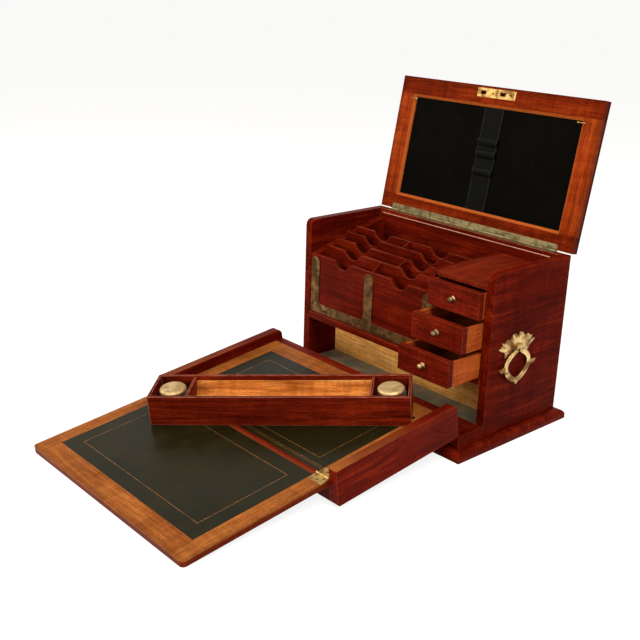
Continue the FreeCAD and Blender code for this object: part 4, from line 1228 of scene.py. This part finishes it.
# ------------------------------------------------------------ sub-assemblies
@dataclass
class SubAssembly:
    """A group of nodes and pieces that is dressed together.

    Attributes:
        palette: The materials by name.
        coats: Names of the nodes that each finish goes on.
    """

    palette: dict[str, Material]
    coats: ClassVar[dict[str, str]] = {}

    def build(self) -> None:
        """Give the nodes of the frame their finishes."""
        for finish, nodes in self.coats.items():
            for node in nodes.split():
                data = frame["nodes"][node].data
                data.materials.clear()
                data.materials.append(self.palette[finish])
                for polygon in data.polygons:
                    polygon.material_index = 0
                LOG.info("node %s in %s", node, finish)

    def drive_screws(self, name: str, body: str, plane: Plane, places: list[Pair], radius: float,
                     lift: float = 0.0) -> None:
        """Drive a set of screws and make them one piece.

        Args:
            name: The piece's name.
            body: The body that it moves with.
            plane: The plane that the screws are driven into.
            places: Places across and along, in millimetres.
            radius: Radius of the heads.
            lift: Height of the surface over the plane.
        """
        heads = Shape()
        for n, (across, along) in enumerate(places):
            turn = Matrix.Rotation(FIRST_SLOT + NEXT_SLOT * n, 4, "Z")
            heads.screw(plane.matrix(across, along, lift) @ turn, radius)
        heads.piece(name, self.palette["screw_brass"], body)


@dataclass
class Cabinet(SubAssembly):
    """The carcass, its plinth and the lower bay, with the pale strip under the lid's hinge that paints the
    back board's lit top edge as a highlight.

    Attributes:
        strip_across: Where the strip starts and ends, seen from the back, in millimetres.
        strip_rise: Heights over the table between which it lies.
        strip_proud: How far it stands out of the back board.
    """

    coats = {
        "mahogany_across": "plinth_mouldings bottom_board base_front_rail ledge_board",
        "panel_mahogany": "left_side_panel right_side_panel",
        "back_mahogany": "back_board",
        "rack_mahogany": "rack_shelf",
        "bay_pine": "bay_back_panel",
        "bay_baize": "bay_floor",
        "hinge_brass": "fall_hinge_base_leaves lid_hinge_back_leaf",
    }
    strip_across: Pair = (-160.0, 166.0)
    strip_rise: Pair = (236.2, 237.5)
    strip_proud: float = 0.5

    def build(self) -> None:
        """Dress the carcass and lay the strip."""
        super().build()
        face = Vector((0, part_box("back_board")[0].y, 0))
        # Painted highlight: a pale strip along the back board's top edge, where that edge catches the light.
        strip = Shape()
        strip.bar(Plane(face, -ACROSS, UPRIGHT, Vector((0, -1, 0))), self.strip_across, self.strip_rise,
                  self.strip_proud)
        strip.piece("back_edge_strip", self.palette["bare_strip"], "cabinet", "pale_wood", False)


@dataclass
class LetterRack(SubAssembly):
    """The stepped rack and its brass card frame."""

    coats = {
        "rack_mahogany": "rack_front_panel rack_divider_1 rack_divider_2 rack_divider_3 rack_divider_4",
        "mahogany_upright": "rack_left_cheek rack_letter_partitions",
        "mahogany_backward": "rack_stack_partition",
        "dull_brass": "brass_card_frame",
    }


@dataclass
class DrawerStack(SubAssembly):
    """The three drawers and the boards around them.

    Attributes:
        drawers: Number of drawers.
        knob: Radii and heights of a ball knob, in millimetres, from its foot to its tip.
    """

    coats = {
        "mahogany_backward": "stack_lining_and_dust_boards",
        "top_mahogany": "stack_top_board",
        "front_mahogany": "drawer_1_front drawer_2_front drawer_3_front",
        "drawer_mahogany": "drawer_1_box drawer_2_box drawer_3_box",
    }
    drawers: int = 3
    knob: Profile = (
        (4.6, -1.2), (4.6, -0.4), (4.2, 0.0), (3.0, 0.25), (2.0, 0.7), (1.8, 1.3), (2.2, 1.9), (3.1, 2.5),
        (3.75, 3.3), (4.0, 4.2), (3.85, 5.2), (3.3, 6.1), (2.4, 6.8), (1.2, 7.15), (0, 7.2))

    def build(self) -> None:
        """Dress the drawers and their boards, and turn their knobs."""
        super().build()
        for n in range(1, self.drawers + 1):
            self.turn_knob(n)

    def turn_knob(self, n: int) -> None:
        """Turn a drawer's ball knob, which stands for its plain node.

        Args:
            n: Number of the drawer.
        """
        low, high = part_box(f"drawer_{n}_knob")
        foot = Vector(((low[0] + high[0]) / 2, low[1] + self.knob[-1][1] * MM, (low[2] + high[2]) / 2))
        ball = Shape()
        ball.turning(Matrix.Translation(foot) @ Matrix.Rotation(math.pi / 2, 4, "X"), self.knob)
        piece = ball.piece(f"drawer_{n}_ball_knob", self.palette["knob_brass"], f"drawer_{n}")
        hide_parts(f"drawer_{n}_knob")


@dataclass
class Lid(SubAssembly):
    """The raised lid with its leather panel and pen loops, in millimetres on the lid.

    Attributes:
        hinge_screws: Number of screws in the hinge's leaf.
        hinge_reach: Place of the last of them across.
        hinge_along: Their place along.
        hinge_sunk: How far they are sunk, so that the shut lid clears them.
        hinge_radius: Radius of their heads.
        plate_screws: Places of the strike plate's screws across.
        plate_along: Their place along.
        plate_sunk: How far they are sunk.
        plate_radius: Radius of their heads.
        pin_reach: Place across of the pins at the leather's top corners.
        pin_along: Their place along.
        pin_long: Their length.
        pin_radius: Their radius.
    """

    coats = {
        "lid_mahogany": "lid_frame",
        "mahogany_across": "lid_panel",
        "lid_leather_black": "lid_leather",
        "strap_leather": "lid_pen_loops",
        "fitting_brass": "lid_strike_plate",
        "hinge_brass": "lid_hinge_lid_leaf",
    }
    hinge_screws: int = 6
    hinge_reach: float = 145.0
    hinge_along: float = 4.6
    hinge_sunk: float = 0.29
    hinge_radius: float = 1.6
    plate_screws: Pair = (-4.0, 24.0)
    plate_along: float = 199.4
    plate_sunk: float = 0.5
    plate_radius: float = 1.5
    pin_reach: float = 161.0
    pin_along: float = 176.5
    pin_long: float = 13.0
    pin_radius: float = 0.7

    def build(self) -> None:
        """Dress the lid and drive its screws."""
        super().build()
        shares = [2 * n / (self.hinge_screws - 1) - 1 for n in range(self.hinge_screws)]
        leaf = [(share * self.hinge_reach, self.hinge_along) for share in shares]
        self.drive_screws("lid_hinge_screws", "lid", LID, leaf, self.hinge_radius, -self.hinge_sunk)
        plate = [(across, self.plate_along) for across in self.plate_screws]
        self.drive_screws("lid_plate_screws", "lid", LID, plate, self.plate_radius, -self.plate_sunk)
        self.fit_pins()

    def fit_pins(self) -> None:
        """Fit the two small pins that hold the leather panel's top corners."""
        radius, long = self.pin_radius, self.pin_long
        profile = ((radius, 0.0), (radius, long - 2.4), (radius * 1.7, long - 1.9), (radius * 2, long - 1.0),
                   (radius * 1.5, long - 0.2), (0, long))
        pins = Shape()
        for side in (-1, 1):
            place = LID.matrix(side * self.pin_reach, self.pin_along, radius * 0.9)
            pins.turning(place @ Matrix.Rotation(-side * math.pi / 2, 4, "Y"), profile, 16)
        pins.piece("lid_panel_pins", self.palette["fitting_brass"], "lid")


@dataclass
class WritingBoard(SubAssembly):
    """What the fall and the flap have in common: gilt lines and hinge screws.

    Lengths are in millimetres on the slope.

    Attributes:
        body: The board's body.
        side: -1 for the fall's side of the hinge line, 1 for the flap's.
        tooling: The line around the leather.
        lines: Places along of straight tooled lines.
        line_reach: Half their length.
        line_thick: Their width.
        line_lift: How far they stand over the leather.
        screws: Places across and distances from the hinge line of the right hinge's screws.
        screw_radius: Radius of their heads.
    """

    body: str
    side: int
    tooling: Tooling
    lines: tuple[float, ...] = ()
    line_reach: float = 147.0
    line_thick: float = 0.4
    line_lift: float = 0.1
    screws: tuple[Pair, ...] = ((153.5, 4.5), (160.4, 9.0), (167.5, 4.5))
    screw_radius: float = 1.5

    def build(self) -> None:
        """Dress the board, tool its leather and drive the screws of both hinge plates."""
        super().build()
        gold = Shape()
        gold.line_frame(SLOPE, self.tooling)
        across = (-self.line_reach, self.line_reach)
        for start in self.lines:
            gold.bar(SLOPE, across, (start, start + self.line_thick), self.line_lift)
        gold.piece(f"{self.body}_gilt_line", self.palette["gilt"], self.body, "leather", False)
        places = [(end * reach, self.side * along) for reach, along in self.screws for end in (1, -1)]
        self.drive_screws(f"{self.body}_hinge_screws", self.body, SLOPE, places, self.screw_radius)


@dataclass
class FallFront(WritingBoard):
    """The fall with its walls, writing surface and hinges."""

    coats = {
        "mahogany_across": "fall_outer_board fall_rails",
        "wall_mahogany": "fall_walls",
        "fall_wood": "fall_writing_board",
        "desk_leather": "fall_leather",
        "fitting_brass": "fall_catch_plate fall_lock flap_hinge_fall_leaves lock_bolt",
        "hinge_brass": "fall_hinge_fall_leaves",
    }
    body: str = "fall"
    side: int = -1
    tooling: Tooling = Tooling(128.0, -150.0, -24.0)
    lines: tuple[float, ...] = (-9.5, -12.5)


@dataclass
class Flap(WritingBoard):
    """The flap that doubles the writing surface."""

    coats = {
        "flap_wood": "flap_board",
        "desk_leather": "flap_leather",
        "fitting_brass": "flap_hinge_flap_leaves",
    }
    body: str = "flap"
    side: int = 1
    tooling: Tooling = Tooling(128.0, 27.0, 158.0)


@dataclass
class PenTray(SubAssembly):
    """The pen tray with its trough and inkwells."""

    coats = {
        "tray_mahogany": "pen_tray_box pen_tray_partitions",
        "trough_maple": "pen_tray_trough",
        "inkwell_glass": "inkwell_bottles",
        "cap_brass": "inkwell_cap_left inkwell_cap_right",
    }


@dataclass
class Handles(SubAssembly):
    """The two cast drop handles, in millimetres across and along from the bail's pin.

    Attributes:
        ring: The bail's right limb, from under its eye down to the tip.
        spur: The spur at its right.
        tip: The point under the bail.
        middle_leaf: The leaf in the middle of the backplate.
        leaves: Its right leaves.
        bail_out: Height of the bail's middle over the side panel.
        bail_half: Half the bail's thickness.
        eye: Radius of the bail's eye and of its bore.
        eye_half: Half the eye's length.
        leaf_half: Half the thickness of a leaf.
        leaf_out: Height of a leaf's middle over the side panel.
    """

    coats = {"handle_brass": "handle_backplates"}
    ring: Limb = ((2.4, -5.0, 2.9), (8.0, -7.6, 3.0), (15.4, -11.6, 3.8), (22.0, -18.0, 3.8),
                  (24.2, -26.0, 3.6), (21.6, -33.4, 4.2), (15.0, -40.4, 4.2), (7.4, -45.6, 3.8),
                  (-1.0, -48.2, 3.8))
    spur: Limb = ((22.6, -24.0, 3.6), (29.0, -27.4, 3.8), (34.6, -27.6, 2.6), (38.4, -25.2, 0.6))
    tip: Limb = ((0.0, -47.0, 4.4), (0.0, -50.6, 3.6), (0.0, -54.2, 0.8))
    middle_leaf: Limb = ((0.0, -6.0, 3.6), (0.0, 3.0, 4.0), (0.0, 9.0, 3.4), (0.0, 13.0, 1.2))
    leaves: tuple[Limb, ...] = (
        ((1.0, 0.0, 3.4), (5.0, 9.0, 3.4), (8.4, 15.0, 2.6), (10.6, 18.0, 0.8)),
        ((4.0, 1.0, 3.2), (12.0, 5.6, 3.8), (18.6, 10.0, 2.8), (23.0, 13.4, 0.7)),
        ((8.0, 1.0, 3.0), (18.0, 3.0, 3.6), (26.0, 6.4, 2.6), (32.0, 9.4, 0.6)),
        ((8.0, -1.0, 3.2), (20.0, -1.0, 3.8), (30.0, 0.0, 2.8), (38.6, 3.0, 0.7)),
        ((8.0, -3.0, 3.4), (16.0, -5.4, 3.6), (21.0, -9.0, 2.6), (24.0, -12.6, 0.7)),
    )
    bail_out: float = 4.9
    bail_half: float = 1.8
    eye: Pair = (3.0, 1.5)
    eye_half: float = 3.9
    leaf_half: float = 1.1
    leaf_out: float = 1.2

    def build(self) -> None:
        """Cast the leaves of the plates and the bails."""
        super().build()
        finish = self.palette["handle_brass"]
        leaves = Shape()
        for side in (-1, 1):
            self.lay_leaves(leaves, side_plane(side))
        leaves.fuse()
        leaves.piece("handle_plate_leaves", finish, "cabinet")
        for side, name in ((-1, "left"), (1, "right")):
            bail = self.cast_bail(side_plane(side)).piece(f"handle_cast_bail_{name}", finish, f"bail_{name}")
            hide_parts(f"handle_bail_{name}")

    def lay_leaves(self, shape: Shape, plane: Plane) -> None:
        """Lay a plate's leaves, out from its middle.

        Args:
            shape: The shape to add to.
            plane: The side panel's face.
        """
        both = [mirrored(leaf, side) for leaf in self.leaves for side in (-1, 1)]
        for leaf in [self.middle_leaf, *both]:
            shape.limb(plane, leaf, self.leaf_half, self.leaf_out)

    def cast_bail(self, plane: Plane) -> Shape:
        """Cast a bail around its pin.

        Args:
            plane: The side panel's face.

        Returns:
            The bail.
        """
        bail = Shape()
        both = [mirrored(line, side) for side in (-1, 1) for line in (self.ring, self.spur)]
        for line in [*both, self.tip]:
            bail.limb(plane, line, self.bail_half, self.bail_out)
        bail.tube(plane, self.eye, self.eye_half, self.bail_out)
        bail.fuse()
        return bail


# -------------------------------------------------------------------- studio
@dataclass
class Studio:
    """Floor, lamps and camera.

    Attributes:
        camera_spot: Where the camera stands, in metres.
        camera_turn: Its Euler angles, in degrees.
        lens: Focal length, in millimetres.
        sensor: Width of the sensor, in millimetres.
        floor_reach: Half the width of the floor, in metres.
        floor_grey: Colour of the floor.
        floor_glow: Share of the floor's own light in what the camera sees of it.
        floor_white: Strength of that light, which with the shaded share makes white.
        room: Strength of the room's light.
        warmth: Colour of the room's light and the lamps.
        aim: What the lamps are turned to, in metres.
        lamps: Place, size and power of each lamp.
    """

    camera_spot: Triple = (0.9178, -1.0150, 0.5942)
    camera_turn: Triple = (70.564, -1.673, 48.571)
    lens: float = 54.924
    sensor: float = 36.0
    floor_reach: float = 40.0
    floor_grey: Colour = (0.86, 0.86, 0.86, 1.0)
    floor_glow: float = 0.60
    floor_white: float = 1.42
    room: float = 0.26
    warmth: Colour = (1.0, 0.93, 0.84, 1.0)
    aim: Triple = (0.0, -0.15, 0.12)
    lamps: tuple[tuple[Triple, float, float], ...] = (
        ((1.3, -0.5, 1.8), 1.0, 24.0),
        ((-1.6, -1.4, 1.6), 1.2, 20.0),
        ((0.2, 0.6, 2.2), 1.4, 15.0),
        ((0.1, -2.0, 0.7), 0.8, 18.0),
    )

    def build(self) -> None:
        """Set up the whole studio."""
        self.lay_floor()
        self.light_room()
        self.hang_lamps()
        self.stand_camera()

    def hold(self, name: str, data: bpy.types.ID) -> bpy.types.Object:
        """Put a mesh, lamp or camera into the scene.

        Args:
            name: The object's name.
            data: What it holds.

        Returns:
            The object.
        """
        held = bpy.data.objects.new(name, data)
        bpy.context.scene.collection.objects.link(held)
        return held

    def lay_floor(self) -> None:
        """Lay a plain floor that keeps the object's shadow."""
        mesh = bmesh.new()
        bmesh.ops.create_grid(mesh, x_segments=1, y_segments=1, size=self.floor_reach)
        data = bpy.data.meshes.new("studio_floor")
        mesh.to_mesh(data)
        mesh.free()
        bench = Bench(bpy.data.materials.new("studio_paper"))
        bench.dress({"Base Color": self.floor_grey, "Roughness": 0.9, "Specular IOR Level": 0.1})
        glow = bench.node("Emission", {"Color": WHITE, "Strength": self.floor_white})
        bench.seen_as(glow.outputs["Emission"], self.floor_glow)
        data.materials.append(bench.owner)
        self.hold("studio_floor", data)

    def light_room(self) -> None:
        """Give the room a white look and a soft light."""
        world = bpy.data.worlds.new("studio_room")
        bpy.context.scene.world = world
        bench = Bench(world)
        bench.dress({"Color": self.warmth, "Strength": self.room})
        bright = bench.node("Background", {"Color": WHITE, "Strength": 1.0})
        bench.seen_as(bright.outputs["Background"])

    def hang_lamps(self) -> None:
        """Hang soft square lamps, all turned to the object."""
        for n, (spot, size, power) in enumerate(self.lamps, start=1):
            lamp = bpy.data.lights.new(f"soft_lamp_{n}", "AREA")
            lamp.size = size
            lamp.energy = power
            lamp.color = self.warmth[:3]
            held = self.hold(f"soft_lamp_{n}", lamp)
            held.location = spot
            held.rotation_euler = (Vector(self.aim) - Vector(spot)).to_track_quat("-Z", "Y").to_euler()

    def stand_camera(self) -> None:
        """Stand the camera where the object shows its open front and right side."""
        camera = bpy.data.cameras.new("camera")
        camera.lens = self.lens
        camera.sensor_width = self.sensor
        held = self.hold("camera", camera)
        held.location = self.camera_spot
        held.rotation_euler = [math.radians(angle) for angle in self.camera_turn]
        bpy.context.scene.camera = held


def main() -> None:
    """Dress the cabinet and set up the studio."""
    logging.basicConfig(level=logging.INFO, format="%(name)s: %(message)s")
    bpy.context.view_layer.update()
    palette = finishes()
    for assembly in (Cabinet, LetterRack, DrawerStack, Lid, FallFront, Flap, PenTray, Handles):
        assembly(palette).build()
        LOG.info("%s is dressed", assembly.__name__)
    Studio().build()
    bpy.context.scene.view_settings.view_transform = "Standard"


if __name__ == "__main__":
    main()
